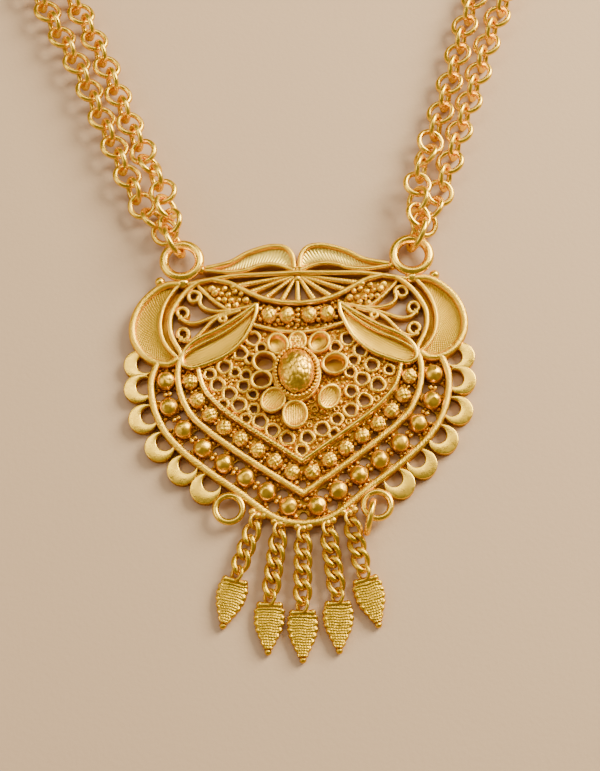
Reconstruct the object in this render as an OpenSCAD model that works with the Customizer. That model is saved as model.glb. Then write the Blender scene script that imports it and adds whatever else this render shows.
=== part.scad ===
// Filigree pendant necklace lying flat: pierced pendant, two pairs of round-link chains, five tassels.
// Sizes in mm. X runs across the pendant, Y from the tassels to the clasp, Z up from the table.

/* [Pendant] */
// thickness of the pierced sheet that every wire is soldered to
sheet_t = 0.8; // [0.6:0.1:1]
// height of the roped borders and of the rims of leaves and crescents
rim_h = 1.9; // [1.5:0.1:2.2]
// height of the fine wires: fan rays, scrolls and net rings
wire_h = 1.3; // [1.1:0.1:1.5]
// width of the three roped borders
rope_w = 0.85; // [0.8:0.05:1.1]
// width of the rims and fan arcs
rim_w = 0.62; // [0.56:0.02:0.8]
// width of the fine wires
wire_w = 0.5; // [0.46:0.02:0.6]

/* [Beads] */
// diameter of the polished beads between the two outer borders
bead_d = 2.35; // [2.2:0.05:2.7]
// diameter of the grained beads between the two inner borders
grain_bead_d = 2.25; // [2:0.05:2.4]
// diameter of the four grained beads under the fan
top_bead_d = 2.05; // [1.8:0.05:2.2]

/* [Scallops] */
// diameter of each polished crescent along the edge
scallop_d = 4.3; // [4:0.1:4.4]
// diameter of the round bite out of it
bite_d = 2.6; // [2.2:0.1:2.8]
// thickness of the scallops
scallop_t = 1.35; // [1:0.05:1.5]

/* [Rosette] */
// width of the oval dome
dome_w = 5.3; // [4.8:0.1:5.4]
// length of the oval dome
dome_l = 6.9; // [6.4:0.1:7]
// height of the dome over the table
dome_top = 4.7; // [4:0.1:5]
// height of the bezel around the dome
bezel_h = 2.9; // [2.6:0.1:3]
// height of the flat petals
petal_h = 2.3; // [2:0.1:2.4]

/* [Rings] */
// outer diameter of the two top rings
top_ring_d = 6.5; // [6.3:0.1:6.6]
// wire of the top rings
top_ring_wire = 1.3; // [1.1:0.05:1.3]
// outer diameter of the two bottom rings
low_ring_d = 4.6; // [4.4:0.1:4.8]
// bore of the bottom rings
low_ring_bore = 2.8; // [2.8:0.1:3]
// thickness of the bottom rings
low_ring_t = 1; // [0.8:0.1:1]
// outer diameter of the jump rings that hold the chains
jump_d = 5.6; // [5.5:0.1:5.6]
// wire of the jump rings
jump_wire = 0.82; // [0.78:0.02:0.82]
// outer diameter of the spare jump ring
spare_d = 5; // [4.8:0.1:5.2]
// wire of the spare jump ring
spare_wire = 0.65; // [0.6:0.05:0.65]

/* [Chains] */
// outer diameter of a chain link
link_d = 4.3; // [4.28:0.01:4.36]
// wire of a chain link
link_wire = 0.7; // [0.64:0.01:0.7]
// distance from one chain link to the next
link_pitch = 2.75; // [2.7:0.01:2.75]
// real links in the front part of each strand
front_links = 36; // [30:2:40]
// distance between the two strands of a pair
strand_gap = 4.5; // [4.4:0.1:5]
// diameter of the drum clasp behind the neck
clasp_d = 9; // [8.6:0.2:10]
// height of the clasp
clasp_h = 2.8; // [2.4:0.1:3.2]

/* [Tassels] */
// outer diameter of a tassel link
curb_d = 3.39; // [3.37:0.01:3.4]
// wire of a tassel link
curb_wire = 0.58; // [0.5:0.01:0.58]
// distance from one tassel link to the next where the chain is pulled tight
curb_pitch = 2.1; // [2.08:0.01:2.1]
// width of a drop at its shoulders
drop_w = 4; // [3.6:0.1:4]
// length of a drop from its top bar to the ball
drop_l = 5.7; // [5.2:0.1:5.8]
// thickness of a drop
drop_t = 1.3; // [1:0.1:1.6]

/* [Hidden] */
$fn = 32;
gold = [0.9, 0.7, 0.28];
chain_gold = [0.93, 0.72, 0.3];
lift = 1.05;              // underside of the rings, so that jump rings pass below them
skirt = 0.04;             // the sheet shows this much past each wire
weld = 0.01;              // wires are this much wider than their line, so that they fuse with the sheet
root_low = 0.3;           // fine wires start this high inside the sheet
root_high = 0.4;          // rims start this high inside the sheet
through = 3;              // length of a drill that goes right through the sheet
play = 0.12;              // clear space between two metals that hang in each other

// Outlines of the right half, each row [x, y]
outer_border = [[20.2, 3.9], [21, 1.4], [20.9, -1.2], [20.2, -3.9], [18.9, -6.5], [16.9, -8.9],
                [14.4, -11.1], [11.7, -13.2], [9.2, -15], [6.7, -17], [4.6, -18.6], [2.4, -19.6],
                [0, -19.9]];
middle_border = [[16.9, 4.8], [17.3, 2.5], [17.1, 0.3], [16.5, -1.8], [15.2, -4.2], [13.2, -6.2],
                 [10.6, -8.3], [7.5, -10.6], [3.9, -13.1], [0, -15.7]];
inner_border = [[14.4, 2.8], [13.6, 0], [12.1, -2], [10.1, -3.9], [7.3, -6], [4.3, -8.1], [0, -11.1]];
fan_chord = [[16, 16.1], [12.4, 16.8], [9.1, 17.3], [5.6, 17.4], [2.5, 17.5], [0, 17.6]];
fan_arc = [[12.4, 16.8], [9.8, 16.1], [7.5, 14.8], [5.1, 13.6], [2.5, 12.95], [0, 12.75]];
bead_wire = [[6.5, 9.5], [3.2, 8.5], [0, 8.1]];
wing_rim = [[14.3, 16.5], [16, 15.2], [17.5, 13.2], [18.45, 11.1], [18.45, 8.9], [17.9, 7.2], [17, 5.6],
            [16.8, 4.6]];
strip_wire = [[14.5, 15.9], [12.5, 13.8], [10.9, 12.5], [9.8, 11.9]];
leaf_edge = [[6, 12.7], [8.4, 10.9], [11.4, 9], [14.4, 7.5], [16, 6.2], [16.7, 4.8], [16.5, 3.6], [15.2, 3.1],
             [12.8, 3.8], [10.3, 5], [8.2, 6.9], [7, 8.9], [6.1, 11.2], [6, 12.7]];
crescent_outer = [[17.1, 16.2], [19.1, 16.1], [21.1, 14.9], [22.9, 12.8], [23.8, 10.3], [23.8, 8.2],
                  [23.2, 6.6], [22, 5], [20.3, 4], [18.5, 3.8], [17.3, 4.6]];
crescent_inner = [[17.1, 16.2], [18.4, 14.6], [19.4, 12.7], [19.9, 10.2], [19.6, 7.9], [18.7, 6.1],
                  [17.3, 4.6]];
crest_upper = [[13.4, 18.6], [9.9, 19.4], [7.4, 20.8], [4.8, 21.7], [3, 21.9], [1.5, 21.5], [0.6, 20.2],
               [0.4, 18.2]];
crest_lower = [[13.4, 18.3], [9.9, 17.9], [7.4, 18.2], [5.7, 18.8], [4, 19], [2.3, 18.7], [0.4, 17.9]];
strip_field = [[14.5, 15.9], [12.5, 13.8], [10.9, 12.5], [9.8, 11.9], [6.5, 12.8], [7.5, 14.8], [9.8, 16.1],
               [12.4, 16.8]];
net_field = [[0, 8.1], [6.5, 9.5], [8.2, 6.9], [10.3, 5], [12.8, 3.8], [14.4, 2.8], [13.6, 0], [10.1, -3.9],
             [0, -11.1]];
bead_field = [[0, 12.75], [6, 13.9], [6, 11], [6.5, 9.5], [3.2, 8.5], [0, 8.1]];

// Scrolls of the right wing, each row [curl centre x, curl centre y, curl radius, angle where it opens]
curls = [[15.1, 14.2, 0.98, 200], [16.8, 11.75, 0.95, 300], [16.7, 8.45, 1, 300], [10.9, 10.7, 0.55, 60]];
stems = [[[14.25, 14], [14.15, 13], [13.2, 12.2], [11.6, 11.85], [9.8, 11.9], [7.9, 12.3], [6.1, 12.7]],
         [[17.15, 11.15], [16.2, 10.3], [14.9, 10.1], [13.4, 10.55], [11.6, 11.2], [9.8, 11.75]],
         [[17.1, 7.8], [16.2, 7.3], [15.1, 7.6], [14.1, 8.5], [12.8, 9.95], [11.5, 11.05]],
         [[11.15, 11.15], [10, 11.4], [8.4, 11.9]]];
ray_ends = [[0, 12.9], [2.45, 13.1], [4.85, 13.7], [7, 14.7], [8.9, 15.8]];
ray_hub = [0, 17.4];

// Beads of the right half, each row [x, y]
beads = [[18.95, 1.3], [18.5, -2.65], [16.4, -6], [13.7, -8.8], [10.8, -11.1], [7.85, -13.2], [4.9, -15.3],
         [1.95, -17.4]];
grain_beads = [[15.55, 1.05], [14.5, -1.75], [12.75, -4], [10.75, -5.9], [8.5, -7.6], [6.15, -9.3],
               [3.8, -10.95], [1.4, -12.6]];
top_beads = [[1.6, 10.95], [4.2, 11.1]];
strip_grains = [[12.9, 15.5], [11.7, 14.3], [10.3, 13.3], [9.6, 14.6], [8.1, 13.4]];

// Scallops of the right half, each row [centre x, centre y, bite x, bite y]
scallops = [[22.9, 3.95, 21.9, 3.95], [22.8, 0.3, 21.9, 0.6], [22.05, -4.2, 21.15, -3.75],
            [19.7, -8.4, 18.95, -7.7], [16.55, -11.85, 15.8, -11.05], [13.35, -14.6, 12.5, -13.75]];

// Rings of the net as they lie on the left and on the right, each row [x, y, hole diameter]
net_rings = [[-6.6, 7.5, 1.6], [-5.4, 6, 1.15], [-8.4, 5.3, 1.45], [-7, 4.4, 1.05], [-10.7, 3.3, 1.5],
             [-9.2, 2.4, 1], [-12.8, 2.2, 1.15], [-7.6, 1.9, 1.15], [-11.7, 0.6, 1.5], [-8, 0.3, 1.35],
             [-10, -0.8, 1.5], [-6.7, -1, 1.1], [-8.7, -2.5, 1.6], [-10.9, -2.3, 1.05], [-6.6, -3.2, 1.15],
             [-5.7, -5, 1.6], [-7.7, -4.6, 1.05], [-4, -6.4, 1.5], [-2, -7.6, 1.5], [7, 7.1, 1.6],
             [5.2, 5.9, 1.25], [8.8, 5.3, 1.5], [7.7, 3.8, 1.25], [10.3, 3, 1.5], [7.2, 2, 1.15],
             [12.7, 2.2, 1.05], [8.8, 0.9, 1.5], [11, 0, 1.6], [7.2, -0.9, 1.35], [9, -2.3, 1.6],
             [7, -3.7, 1.5], [5, -5, 1.25], [2.9, -6.4, 1.6], [4.6, -7.1, 1.05], [0.8, -7.6, 1.45],
             [0, -9.4, 1.25]];
net_wire = 0.36;
net_low = 0.15;           // the net rings end this far under the fine wires

// Drops of solder that fill the small gaps of the right half, each row [x, y, diameter]
solder = [[11, 10.8, 1], [14.2, 16.1, 1], [14.4, 14.3, 0.6], [21.4, 2.3, 1], [14.15, -12.3, 1.9]];

// Holes beside the bead rows: diameter and way off to the side
bead_gap_d = 1.45;
bead_gap_off = 1;
grain_gap_d = 1;
grain_gap_off = 0.8;
bead_low = 0.06;          // underside of the beads
scallop_bevel = 0.3;

// Petals of the rosette, each row [x, y, diameter, depth of the cup]
petals = [[-3.1, 6.3, 2.7, 0.9], [3, 6.4, 2.7, 0.9], [-0.2, 6.7, 2.7, 0.3], [-4.9, 3.5, 3, 1.1],
          [5, 3, 3.1, 1], [-5.5, 0.8, 2.5, 0.4], [-3.8, -2.2, 3.3, 0.4], [-0.8, -4.4, 3.6, 0.5]];
petal_wall = 0.35;
tilted_petal = [3.7, -1.9, 1.6];
tilted_d = 3.2;
tilted_h = 1.3;
dome_at = [-0.45, 1.75];
bezel_wide = 1.2;         // the bezel is this much wider than the dome
bezel_groove = 0.4;       // width that the groove in the bezel adds to the dome
bezel_floor = 1.9;        // height of the groove's floor over the root of the bezel

// Tassels from left to right, each row [eye x, eye y, lean of the chain, links, lean of the drop, slack]
tassels = [[-6.5, -19.3, 20, 3, 16, 0], [-3.3, -20.6, 9, 4, 3, 0.15], [-0.1, -21.3, 2, 4, 1, 0.04],
           [3.3, -20.6, -6, 4, 0, 0.15], [6.4, -19.3, -11, 3, -14, 0]];
eye_d = 2.4;
eye_wire = 0.5;
eye_r = (eye_d - eye_wire) / 2;
curb_r = (curb_d - curb_wire) / 2;
curb_tilt = 40;            // the links of a tassel lean this far to either side
curb_z = curb_r * sin(curb_tilt) + curb_wire / 2 + 0.02;
eye_to_link = eye_r - (eye_wire + curb_wire) / 2 - play + curb_r;
ball_d = 0.95;

// Rings
top_ring_at = [16.85, 19.85];
top_ring_r = (top_ring_d - top_ring_wire) / 2;
low_ring_at = [10.1, -17.6];
jump_r = (jump_d - jump_wire) / 2;
jump_lean = 20;                        // the jump rings lean this far from upright
jump_z = jump_r * cos(jump_lean) + jump_wire / 2;
jump_out = top_ring_r + 0.35;          // their centre from the centre of the top ring
pull = [112, 72];                      // way that each pair of chains leaves, in degrees from +X
spare_r = (spare_d - spare_wire) / 2;
spare_out = 0.35;                      // it hangs this far out from the middle of that ring's wire
spare_way = -120;                      // side of the bottom right ring that the spare ring hangs from
spare_yaw = 76;                        // way its flat faces look along

// Middle of each pair of strands, each row [x, y]; the first row is at the jump ring
link_r = (link_d - link_wire) / 2;
roll = 18;                             // the flat links are rolled this far from lying flat
chain_z = link_r * cos(roll) + link_wire / 2;
left_route = [[-18.92, 24.92], [-22.7, 33], [-27, 43.3], [-31.4, 54.4], [-36.4, 64.8], [-45, 82], [-56, 104],
              [-63, 128], [-60, 152], [-44, 170], [-22, 178], [-6, 179]];
right_route = [[18.53, 25.06], [20.2, 31.2], [23.7, 41.3], [27.2, 51.5], [30.6, 61.7], [40, 82], [53, 104],
               [61, 128], [59, 152], [44, 170], [22, 178], [6, 179]];
// Half the distance between the strands of a pair, each row [way along the route, distance]
spread = [[0, 0.52], [6, 1.91], [18, 1.78], [30, 1.95], [40, strand_gap / 2], [400, strand_gap / 2]];
// Height of the two strands where they leave the jump ring, each row [way along the route, height]
low_start = [[0, 1.61], [7.76, chain_z], [400, chain_z]];
high_start = [[0, 3.8], [9, 2.91], [13, 2.17], [18, chain_z], [400, chain_z]];
tube_step = 7.6;
tube_sides = 8;
clasp_at = [0, 179];

function unit(v) = v / norm(v);
function turn(a) = [cos(a), sin(a)];

// Smooth curve through the rows of a table
function between(p, i, t) = let(a = p[max(i - 1, 0)], b = p[i], c = p[i + 1], d = p[min(i + 2, len(p) - 1)])
    b + 0.5 * t * ((c - a) + t * ((2 * a - 5 * b + 4 * c - d) + t * (3 * (b - c) + d - a)));
function smooth(p, n = 2) = concat([for (i = [0 : len(p) - 2]) for (k = [0 : n - 1]) between(p, i, k / n)],
                                   [p[len(p) - 1]]);
function across(p, i) = let(d = unit(p[min(i + 1, len(p) - 1)] - p[max(i - 1, 0)])) [-d[1], d[0]];
function shifted(p, s) = [for (i = [0 : len(p) - 1]) p[i] + s * across(p, i)];
function reversed(p) = [for (i = [len(p) - 1 : -1 : 0]) p[i]];

// Way along a route at each of its points
function lengths(p, i = 0, sum = 0) =
    i == len(p) - 1 ? [sum] : concat([sum], lengths(p, i + 1, sum + norm(p[i + 1] - p[i])));

// Centre line of one strand: side is 1 or -1 of the pair's middle, heights a table of [way, height]
function strand_line(route, side, heights) = let(mid = smooth(route, 6), way = lengths(mid))
    [for (i = [0 : len(mid) - 1]) let(q = mid[i] + side * lookup(way[i], spread) * across(mid, i))
        [q[0], q[1], lookup(way[i], heights)]];
function at(line, way, s) =
    [for (k = [0 : 2]) lookup(s, [for (i = [0 : len(line) - 1]) [way[i], line[i][k]]])];

module both_sides() {
    children();
    mirror([1, 0, 0]) children();
}

module band(path, width) {
    polygon(concat(shifted(path, width / 2), reversed(shifted(path, -width / 2))));
}

// Flat outline of a wire laid along a smooth curve
module wire(table, width) {
    path = smooth(table);
    band(path, width);
    for (end = [path[0], path[len(path) - 1]])
        translate(end) circle(d = width, $fn = 8);
}

// Scroll that winds outwards by curl_turn degrees
curl_turn = 390;
curl_start = 0.62;        // the inner end lies at this share of the curl's radius
module curl(c) {
    band([for (a = [0 : 30 : curl_turn]) let(grown = curl_start + (1 - curl_start) * a / curl_turn)
          [c[0], c[1]] + c[2] * grown * turn(c[3] - curl_turn + a)], wire_w);
}

module borders(width) both_sides() {
    wire(outer_border, width);
    wire(middle_border, width);
    wire(inner_border, width * 0.85);
}

module rims(width) both_sides() {
    for (table = [fan_chord, fan_arc, bead_wire, wing_rim])
        wire(table, width);
    for (table = [leaf_edge, crescent_inner, crest_upper, crest_lower])
        wire(table, width);
    wire(crescent_outer, width * 1.2);
}

module fine_wires(width) both_sides() {
    for (end = ray_ends) band([ray_hub, end], width);
    for (c = curls) curl(c);
    for (stem = stems) wire(stem, width);
    wire(strip_wire, width);
}

module fields() both_sides() {
    polygon(smooth(leaf_edge));
    for (pair = [[crescent_outer, crescent_inner], [crescent_inner, wing_rim], [crest_upper, crest_lower],
                 [outer_border, middle_border], [middle_border, inner_border]])
        polygon(concat(smooth(pair[0]), reversed(smooth(pair[1]))));
    for (field = [net_field, bead_field, strip_field]) polygon(field);
}

// Point between two beads of a row, off to the side of the line from bead to bead
function gap_at(row, i, off) = let(a = row[i], b = row[i + 1], d = unit(b - a))
    (a + b) / 2 + off * [-d[1], d[0]];

module bead_gaps() both_sides() {
    for (i = [0 : len(beads) - 2]) for (off = [-bead_gap_off, bead_gap_off])
        translate(gap_at(beads, i, off)) cylinder(d = bead_gap_d, h = through, center = true);
    for (i = [0 : len(grain_beads) - 4])
        translate(gap_at(grain_beads, i, grain_gap_off))
            cylinder(d = grain_gap_d, h = through, center = true);
}

// Pierced sheet: fields, wires and scallops in one outline, with the holes of the net and the bead rows
module sheet() difference() {
    linear_extrude(sheet_t) offset(delta = skirt) {
        borders(rope_w);
        rims(rim_w);
        fine_wires(wire_w);
        fields();
        both_sides() for (p = solder) translate([p[0], p[1]]) circle(d = p[2], $fn = 8);
        both_sides() for (s = scallops) difference() {
            translate([s[0], s[1]]) circle(d = scallop_d, $fn = 28);
            translate([s[2], s[3]]) circle(d = bite_d, $fn = 20);
        }
    }
    bead_gaps();
    for (n = net_rings) translate([n[0], n[1], 0]) cylinder(d = n[2], h = through, center = true);
    for (y = [-14.1, -18.6]) translate([0, y, 0]) cylinder(d = 1.1, h = through, center = true);
}

module net() {
    for (n = net_rings) translate([n[0], n[1], root_low]) difference() {
        cylinder(d = n[2] + 0.1 + 2 * net_wire, h = wire_h - root_low - net_low);
        translate([0, 0, -1]) cylinder(d = n[2] + 0.1, h = through);
    }
}

module bead(p, d) {
    translate([p[0], p[1], d / 2 + bead_low]) sphere(d = d);
}

module bead_rows() both_sides() {
    for (p = beads) bead(p, bead_d);
    for (p = grain_beads) bead(p, grain_bead_d);
    for (p = top_beads) bead(p, top_bead_d);
    for (p = strip_grains) translate([p[0], p[1], 0.95]) sphere(d = 1.3);
    for (i = [0 : len(beads) - 2]) translate(concat(gap_at(beads, i, 0), 0.85)) sphere(d = 0.9);
}

module scallop_caps() both_sides() {
    straight = scallop_t - root_low - scallop_bevel;
    for (s = scallops) translate([0, 0, root_low]) difference() {
        translate([s[0], s[1], 0]) union() {
            cylinder(d = scallop_d, h = straight);
            translate([0, 0, straight])
                cylinder(d1 = scallop_d, d2 = scallop_d - 2 * scallop_bevel, h = scallop_bevel);
        }
        translate([s[2], s[3], -1]) cylinder(d = bite_d, h = through);
    }
}

function oval(w, l) = [for (a = [0 : 10 : 350]) [w / 2 * cos(a), l / 2 * sin(a)]];

// Round petal with a turned cup in its top
module petal(d, h, cup) difference() {
    cylinder(d = d, h = h);
    translate([0, 0, h - cup]) cylinder(d = d - 2 * petal_wall, h = cup + 1);
}

module rosette() {
    for (p = petals) translate([p[0], p[1], root_low]) petal(p[2], petal_h - root_low, p[3]);
    translate(tilted_petal) rotate([0, 24, -35]) petal(tilted_d, tilted_h, 0.4);
    translate([tilted_petal[0] - 0.2, tilted_petal[1], root_low])
        cylinder(d = tilted_d / 2, h = tilted_petal[2]);
    dome_h = dome_top - bead_low;
    translate([dome_at[0], dome_at[1], 0]) {
        translate([0, 0, root_high]) difference() {
            linear_extrude(bezel_h - root_high) polygon(oval(dome_w + bezel_wide, dome_l + bezel_wide));
            translate([0, 0, bezel_floor])
                linear_extrude(bezel_h) polygon(oval(dome_w + bezel_groove, dome_l + bezel_groove));
        }
        translate([0, 0, bead_low + dome_h / 2])
            scale([dome_w / dome_h, dome_l / dome_h, 1]) sphere(d = dome_h);
    }
}

module ring(r, wire_d) {
    rotate_extrude() translate([r, 0]) circle(d = wire_d);
}

module top_rings() both_sides() {
    translate([top_ring_at[0], top_ring_at[1], lift + top_ring_wire / 2]) ring(top_ring_r, top_ring_wire);
    translate([top_ring_at[0] - 0.1, top_ring_at[1] - 3.35, 0.2]) cylinder(d = 1.9, h = rim_h - 0.3);
    translate([14, 18.55, 0.2]) cylinder(d = 1.3, h = rim_h - 0.35);
    translate([20.05, 16.75, 1.1]) sphere(d = 1.5);
}

module low_rings() both_sides() {
    translate([low_ring_at[0], low_ring_at[1], lift]) difference() {
        cylinder(d = low_ring_d, h = low_ring_t);
        translate([0, 0, -1]) cylinder(d = low_ring_bore, h = low_ring_t + 2);
    }
}

// Tab of a tassel: a small plate from the border to the eye, with grains on it
module tab(t) {
    translate([t[0], t[1], 0]) rotate(-t[2]) {
        translate([0, 0, root_low]) linear_extrude(wire_h - root_low)
            polygon([[-1.3, 1.75], [1.3, 1.75], [0.75, 0.55], [-0.75, 0.55]]);
        translate([0, 0, curb_z]) rotate([0, -45, 0]) ring(eye_r, eye_wire);
        for (p = [[-0.8, 1], [0.8, 1], [0, 0.75]]) translate([p[0], p[1], 1.4]) sphere(d = 1.15);
    }
}

module pendant() color(gold) translate(shift) {
    sheet();
    translate([0, 0, root_low]) linear_extrude(wire_h - root_low) offset(delta = weld) fine_wires(wire_w);
    translate([0, 0, root_high]) linear_extrude(rim_h - root_high) offset(delta = weld) {
        borders(rope_w);
        rims(rim_w);
    }
    net();
    bead_rows();
    scallop_caps();
    rosette();
    top_rings();
    low_rings();
    for (t = tassels) tab(t);
}

// Jump ring through a top ring: side is -1 for the left and 1 for the right
module jump_ring(side) color(chain_gold) translate(shift) {
    a = side < 0 ? pull[0] : pull[1];
    at_ring = [side * top_ring_at[0], top_ring_at[1]] + jump_out * turn(a);
    translate([at_ring[0], at_ring[1], jump_z]) rotate([0, 0, a]) rotate([90 + side * jump_lean, 0, 0])
        ring(jump_r, jump_wire);
}

module jump_ring_left() jump_ring(-1);

module jump_ring_right() jump_ring(1);

module loose_jump_ring() color(chain_gold) translate(shift) {
    middle = low_ring_at + ((low_ring_d + low_ring_bore) / 4 + spare_out) * turn(spare_way);
    translate([middle[0], middle[1], spare_r + spare_wire / 2]) rotate([90, 0, spare_yaw])
        ring(spare_r, spare_wire);
}

// Turn of link i about the strand: each lies square to the last, apart from the first few, which sort
// themselves out from one jump ring. Flat links of one strand lie beside upright ones of the other.
outer_first = [-21.6, 45.8, 173.2, 291];
inner_first = [-30.8, -130.7, -188, -253.1, -312.3, -13];
function outer_turn(i) = i < len(outer_first) ? outer_first[i] : roll + 90 * i;
function inner_turn(i) = i < len(inner_first) ? inner_first[i] : roll + 90 * (i - 5);

// Links along the first stretch of a strand; hand is 1 on the left and -1 on the right
module links(line, hand, turns) color(chain_gold) translate(shift) {
    way = lengths(line);
    for (i = [0 : front_links - 1]) {
        p = at(line, way, i * link_pitch);
        ahead = at(line, way, i * link_pitch + 0.5) - at(line, way, max(i * link_pitch - 0.5, 0));
        yaw = atan2(ahead[1], ahead[0]);
        pitch = -atan2(ahead[2], norm([ahead[0], ahead[1]]));
        translate(p) rotate([hand * turns[i], pitch, yaw]) ring(link_r, link_wire);
    }
}

// Plain tube along the rest of a strand, round the back of the neck to the clasp
function tube_ring(line, way, s, r) = let(p = at(line, way, s),
                                          d = at(line, way, s + 0.5) - at(line, way, s - 0.5),
                                          n = unit([-d[1], d[0], 0]))
    [for (k = [0 : tube_sides - 1]) let(a = 360 / tube_sides * (k + 0.5))
        p + r * (cos(a) * n + sin(a) * [0, 0, 1])];
function tube_ways(line, way) = let(from = (front_links - 1) * link_pitch + link_d / 2 + 0.15,
                                    to = way[len(way) - 1] - 0.1, n = ceil((to - from) / tube_step))
    [for (i = [0 : n]) from + (to - from) * i / n];
function tube_points(line) = let(way = lengths(line), r = chain_z / cos(180 / tube_sides))
    [for (s = tube_ways(line, way)) for (q = tube_ring(line, way, s, r)) q];

module tube(line) color(chain_gold) translate(shift) {
    points = tube_points(line);
    rings = len(points) / tube_sides;
    polyhedron(points, concat(
        [[for (k = [0 : tube_sides - 1]) k]],
        [for (i = [0 : rings - 2]) for (k = [0 : tube_sides - 1])
            let(a = i * tube_sides, b = (k + 1) % tube_sides)
            [a + k, a + tube_sides + k, a + tube_sides + b, a + b]],
        [[for (k = [tube_sides - 1 : -1 : 0]) (rings - 1) * tube_sides + k]]));
}

left_outer = strand_line(left_route, 1, low_start);
left_inner = strand_line(left_route, -1, high_start);
right_outer = strand_line(right_route, -1, low_start);
right_inner = strand_line(right_route, 1, high_start);

outer_turns = [for (i = [0 : front_links - 1]) outer_turn(i)];
inner_turns = [for (i = [0 : front_links - 1]) inner_turn(i)];

module strand_left_outer() links(left_outer, 1, outer_turns);

module strand_left_inner() links(left_inner, 1, inner_turns);

module strand_right_outer() links(right_outer, -1, outer_turns);

module strand_right_inner() links(right_inner, -1, inner_turns);

module back_left_outer() tube(left_outer);

module back_left_inner() tube(left_inner);

module back_right_outer() tube(right_outer);

module back_right_inner() tube(right_inner);

// Plain drum with two eyes a side
module clasp() color(gold) translate(shift) translate([clasp_at[0], clasp_at[1], 0]) {
    cylinder(d = clasp_d, h = clasp_h);
    for (side = [-1, 1]) for (y = [-strand_gap / 2, strand_gap / 2])
        translate([side * (clasp_d / 2 + 0.1), y, chain_z]) ring(eye_r, eye_wire);
}

function link_step(t) = curb_pitch - t[5];

// Links of a tassel, leaning to one side and the other in turn
module tassel(t) color(chain_gold) translate(shift) translate([t[0], t[1], curb_z]) rotate(-t[2]) {
    for (i = [0 : t[3] - 1])
        translate([0, -eye_to_link - i * link_step(t), 0])
            rotate([0, i % 2 == 0 ? curb_tilt : -curb_tilt, 0]) ring(curb_r, curb_wire);
}

// Half widths of a drop from its shoulders to the tip, each row [way down, half width]
drop_sides = [[0, 0.4], [0.9, 0.49], [2.2, 0.5], [3.4, 0.42], [4.6, 0.27], [drop_l, 0.14]];
drop_steps = 9;
notch = 0.13;             // depth of the small notches down the sides

function drop_end(t) = [t[0], t[1]] + (2 * eye_to_link + (t[3] - 1) * link_step(t)) * turn(-90 - t[2]);

module drop(t) color(gold) translate(shift) translate(concat(drop_end(t), 0)) rotate(-t[4]) {
    top = eye_r + 0.1;
    translate([0, 0, curb_z]) rotate([0, t[3] % 2 == 0 ? 45 : -45, 0]) ring(eye_r, eye_wire);
    side = [for (i = [0 : drop_steps]) for (edge = [0, notch])
        let(y = min(i * drop_l / drop_steps + edge, drop_l))
        [drop_w * lookup(y, drop_sides) - (edge > 0 ? 0 : notch), -top - y]];
    linear_extrude(drop_t) polygon(concat(side, reversed([for (q = side) [-q[0], q[1]]])));
    translate([-1.35, -top - 0.35, 0.25]) cube([2.7, 0.7, drop_t]);
    translate([0, -top - drop_l - ball_d * 0.35, ball_d / 2 + 0.02]) sphere(d = ball_d);
}

module tassel_1() tassel(tassels[0]);
module tassel_2() tassel(tassels[1]);
module tassel_3() tassel(tassels[2]);
module tassel_4() tassel(tassels[3]);
module tassel_5() tassel(tassels[4]);
module drop_1() drop(tassels[0]);
module drop_2() drop(tassels[1]);
module drop_3() drop(tassels[2]);
module drop_4() drop(tassels[3]);
module drop_5() drop(tassels[4]);

// The whole necklace is moved so that the middle of its box stands at the origin
outside = concat(tube_points(left_outer), tube_points(right_outer));
lowest = drop_end(tassels[2]) + (eye_r + 0.1 + drop_l + ball_d * 0.85) * turn(-90 - tassels[2][4]);
shift = [-(max([for (p = outside) p[0]]) + min([for (p = outside) p[0]])) / 2,
         -(max([for (p = outside) p[1]]) + lowest[1]) / 2, 0];

pendant();
jump_ring_left();
jump_ring_right();
loose_jump_ring();
strand_left_outer();
strand_left_inner();
strand_right_outer();
strand_right_inner();
back_left_outer();
back_left_inner();
back_right_outer();
back_right_inner();
clasp();
tassel_1();
tassel_2();
tassel_3();
tassel_4();
tassel_5();
drop_1();
drop_2();
drop_3();
drop_4();
drop_5();
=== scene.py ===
# %% [markdown]
# # A gold filigree necklace, laid flat
# Filigree is built up, not cut out: a goldsmith lays wires, grains and beads on a thin sheet and solders
# them down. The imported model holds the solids; here each of them gets its twisted wires, grains, chasing
# and polish. Everything is laid out in millimetres from the middle of the pendant, and turned into metres
# at the end.

# %% Load the frame and find the middle of the pendant
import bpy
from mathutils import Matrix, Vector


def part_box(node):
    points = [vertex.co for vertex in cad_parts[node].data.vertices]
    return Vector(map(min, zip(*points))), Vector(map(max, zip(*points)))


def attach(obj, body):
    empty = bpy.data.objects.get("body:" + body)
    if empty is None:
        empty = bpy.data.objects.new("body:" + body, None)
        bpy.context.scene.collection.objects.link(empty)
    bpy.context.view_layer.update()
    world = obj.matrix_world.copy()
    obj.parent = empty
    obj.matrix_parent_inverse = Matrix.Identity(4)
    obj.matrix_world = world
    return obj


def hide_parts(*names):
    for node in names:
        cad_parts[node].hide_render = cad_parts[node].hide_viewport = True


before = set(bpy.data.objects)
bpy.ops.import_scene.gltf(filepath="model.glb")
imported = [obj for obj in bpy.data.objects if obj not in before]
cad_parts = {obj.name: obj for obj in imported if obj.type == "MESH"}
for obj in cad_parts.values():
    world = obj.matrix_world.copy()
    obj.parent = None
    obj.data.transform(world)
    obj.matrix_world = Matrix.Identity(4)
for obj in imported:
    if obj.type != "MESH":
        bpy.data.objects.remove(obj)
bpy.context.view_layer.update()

import math

import bpy
import numpy as np
from mathutils import Matrix, Vector
from mathutils.geometry import delaunay_2d_cdt

mm = 0.001
clasp_y = 179.0
clasp_low, clasp_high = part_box("clasp")
middle = (clasp_low + clasp_high) / 2 / mm
home = np.array([middle.x, middle.y - clasp_y, 0.0])
print("middle of the pendant, in mm:", home.round(2))

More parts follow.
